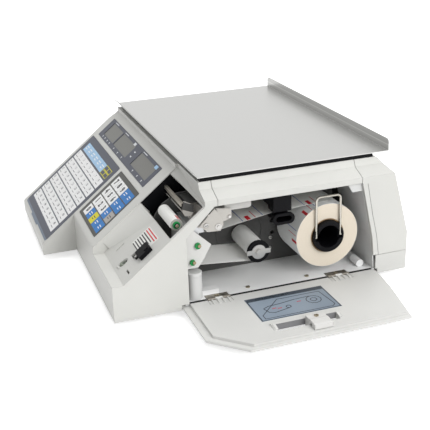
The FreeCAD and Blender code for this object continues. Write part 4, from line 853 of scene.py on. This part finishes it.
def door_diagram():
    """Plain threading diagram: roll, guide bars and the path of the web between them."""
    piece = Piece(DIAGRAM_DARK, INK, INK_RED, INK_WHITE)
    band = [(-13.6, 18.4), (84.6, 18.4), (84.6, 25.0), (-13.6, 25.0)]
    piece.extrude(on_diagram, band, 0, 1, DIAGRAM_DARK)
    border = [(-13.0, 25.5), (84.0, 25.5), (84.0, 73.4), (-13.0, 73.4), (-13.0, 25.5)]
    piece.ribbon(on_diagram, border, 1.3, DIAGRAM_DARK)
    roll = circle(62, 47, 9, 30)
    core = circle(62, 47, 4, 45)
    spool = circle(28, 52, 3, 45)
    for loop in (roll, core, spool):
        piece.ribbon(on_diagram, loop, 0.8, INK)
    web = [(60, 37.5), (40, 38.5), (20, 42), (6, 43), (-1, 47), (2, 57), (8, 60), (27, 55.5)]
    piece.ribbon(on_diagram, web, 0.9, INK)
    case = [(-8, 70), (-8, 62), (22, 30.5), (76, 30.5), (80, 66), (76, 70)]
    piece.ribbon(on_diagram, case + case[:1], 0.8, INK)
    for y, h in ((11, 50), (17, 52), (44, 45)):
        piece.ribbon(on_diagram, [(y - 2, h), (y + 2, h)], 1.2, INK_RED)
    for y in (0, 14, 30):
        piece.ribbon(on_diagram, [(y, 21.7), (y + 9, 21.7)], 1.2, INK_WHITE)
    piece.done("door_diagram", "door")


def hinge_ribs():
    """Four tapering ribs on the door beside each hinge."""
    piece = Piece(DOOR)
    rib_w = 1.6
    profile = [(3.2, 0.0), (3.2, 1.8), (6.0, 1.8), (14.5, 0.3), (14.5, 0.0)]
    for start in HINGE_STARTS:
        for i in range(4):
            y = start + 3.5 + i * 6.6
            piece.extrude(along_door, profile, y, y + rib_w, DOOR)
    piece.done("hinge_ribs", "door")


SLOT_H0, SLOT_H1 = 88.0, 100.0
SLOT_Y0, SLOT_Y1 = -4.0, 70.0
LATCH_Y0, LATCH_Y1 = 32.0, 54.0


def latch_frame():
    """Raised rim round the hinge side of the latch slot, with a dark strip inside it as painted shade
    on the slot's inner wall.
    """
    piece = Piece(DOOR, STAND_PAINT_AND_SHADE)
    rim, bevel, top = 5.0, 2.2, 2.6
    outer = [(SLOT_H0 - rim, 0.0), (SLOT_H0 - rim + bevel, top), (SLOT_H0, top), (SLOT_H0, 0.0)]
    piece.extrude(along_door, outer, SLOT_Y0 - rim, SLOT_Y1 + rim, DOOR)
    for inner, outward in ((SLOT_Y0, -1), (SLOT_Y1, 1)):
        foot = inner + outward * rim
        end = [(foot, 0.0), (foot - outward * bevel, top), (inner, top), (inner, 0.0)]
        piece.prism([on_door(SLOT_H0 - 0.1, y, out) for y, out in end],
                    [on_door(SLOT_H1 - 3, y, out * 0.4) for y, out in end], DOOR)
    # Dark strip on the slot's wall under the rim: painted shade.
    shade_band_h0, shade_band_h1, shade_band_low, shade_band_high = SLOT_H0 - 0.05, SLOT_H0 + 0.25, -5.3, top - 0.5
    rail = [(shade_band_h0, shade_band_low), (shade_band_h1, shade_band_low), (shade_band_h1, shade_band_high), (shade_band_h0, shade_band_high)]
    piece.extrude(along_door, rail, SLOT_Y0 + 0.1, SLOT_Y1 - 0.1, STAND_PAINT_AND_SHADE)
    piece.done("latch_frame", "door")


def latch_hood():
    """Sloping hood over the nose of the latch, with its tall front face."""
    piece = Piece(WHITE)
    profile = [(98.0, 5.9), (100.5, 6.8), (110.0, 6.3), (114.0, 5.4),
               (114.0, 0.6), (109.1, 0.6), (109.1, 5.9)]
    piece.extrude(along_door, profile, LATCH_Y0, LATCH_Y1, WHITE)
    piece.done("latch_hood", "latch")


door_diagram()
hinge_ribs()
latch_frame()
latch_hood()

# Camera, fitted to the corners of the pan, the door and the keyboard
FRAME_PX = 430.0
FOCAL_PX = 863.3
camera_data = bpy.data.cameras.new("camera")
camera_data.sensor_width = 36.0
camera_data.lens = FOCAL_PX / FRAME_PX * camera_data.sensor_width
camera_data.clip_end = 50.0
camera = bpy.data.objects.new("camera", camera_data)
bpy.context.scene.collection.objects.link(camera)
bpy.context.scene.camera = camera
AZIMUTH, ELEVATION, TILT = math.radians(71.348), math.radians(21.672), math.radians(-1.987)
camera.location = (1.0047, -0.3331, 0.4821)
turn = Matrix.Rotation(AZIMUTH, 3, "Z") @ Matrix.Rotation(math.pi / 2 - ELEVATION, 3, "X")
camera.rotation_euler = (turn @ Matrix.Rotation(TILT, 3, "Z")).to_euler()

# Stage: white floor that keeps the shadow, and even studio light
floor_mesh = bpy.data.meshes.new("floor")
floor_mesh.from_pydata([(-6, -6, 0), (6, -6, 0), (6, 6, 0), (-6, 6, 0)], [], [(0, 1, 2, 3)])
floor = bpy.data.objects.new("floor", floor_mesh)
bpy.context.scene.collection.objects.link(floor)
floor_material = bpy.data.materials.new("floor")
floor_material.use_nodes = True
floor_tree = floor_material.node_tree
floor_tree.nodes.clear()


def seen_directly(tree):
    """1 for camera, mirror and glass rays, 0 for the rays that light the object."""
    path = tree.nodes.new("ShaderNodeLightPath")
    total = path.outputs["Is Camera Ray"]
    for ray in ("Is Glossy Ray", "Is Transmission Ray"):
        add = tree.nodes.new("ShaderNodeMath")
        add.operation = "MAXIMUM"
        link(tree, total, add.inputs[0])
        link(tree, path.outputs[ray], add.inputs[1])
        total = add.outputs["Value"]
    return total


paint = floor_tree.nodes.new("ShaderNodeBsdfDiffuse")
paint.inputs["Color"].default_value = (0.86, 0.86, 0.86, 1)
glow = floor_tree.nodes.new("ShaderNodeEmission")
FLOOR_GLOW = 0.62              # lifts the floor to white where it is seen, and keeps the shadow
scale = floor_tree.nodes.new("ShaderNodeMath")
scale.operation = "MULTIPLY"
scale.inputs[1].default_value = FLOOR_GLOW
link(floor_tree, seen_directly(floor_tree), scale.inputs[0])
link(floor_tree, scale.outputs["Value"], glow.inputs["Strength"])
both = floor_tree.nodes.new("ShaderNodeAddShader")
link(floor_tree, paint.outputs["BSDF"], both.inputs[0])
link(floor_tree, glow.outputs["Emission"], both.inputs[1])
floor_out = floor_tree.nodes.new("ShaderNodeOutputMaterial")
link(floor_tree, both.outputs["Shader"], floor_out.inputs["Surface"])
floor_mesh.materials.append(floor_material)

world = bpy.data.worlds.new("studio")
bpy.context.scene.world = world
world.use_nodes = True
background = world.node_tree.nodes["Background"]
background.inputs["Color"].default_value = (1, 1, 1, 1)
AMBIENT = 0.45                 # the studio's own light on the object; seen directly it is white
level = world.node_tree.nodes.new("ShaderNodeMapRange")
level.inputs["To Min"].default_value = AMBIENT
level.inputs["To Max"].default_value = 1.0
link(world.node_tree, seen_directly(world.node_tree), level.inputs["Value"])
link(world.node_tree, level.outputs["Result"], background.inputs["Strength"])


def soft_light(name, location, target, size, power):
    """Square lamp aimed at a target; the steel pan mirrors the white studio, not the lamp."""
    data = bpy.data.lights.new(name, "AREA")
    data.size = size
    data.energy = power
    lamp = bpy.data.objects.new(name, data)
    lamp.visible_glossy = False
    lamp.location = location
    lamp.rotation_euler = (Vector(target) - Vector(location)).to_track_quat("-Z", "Y").to_euler()
    bpy.context.scene.collection.objects.link(lamp)


AIM = (0, 0, 0.08)
soft_light("key", (2.2, 0.9, 1.3), AIM, 1.6, 42)
soft_light("top", (-0.2, 0.3, 2.6), AIM, 2.2, 30)

bpy.context.scene.view_settings.view_transform = "Standard"
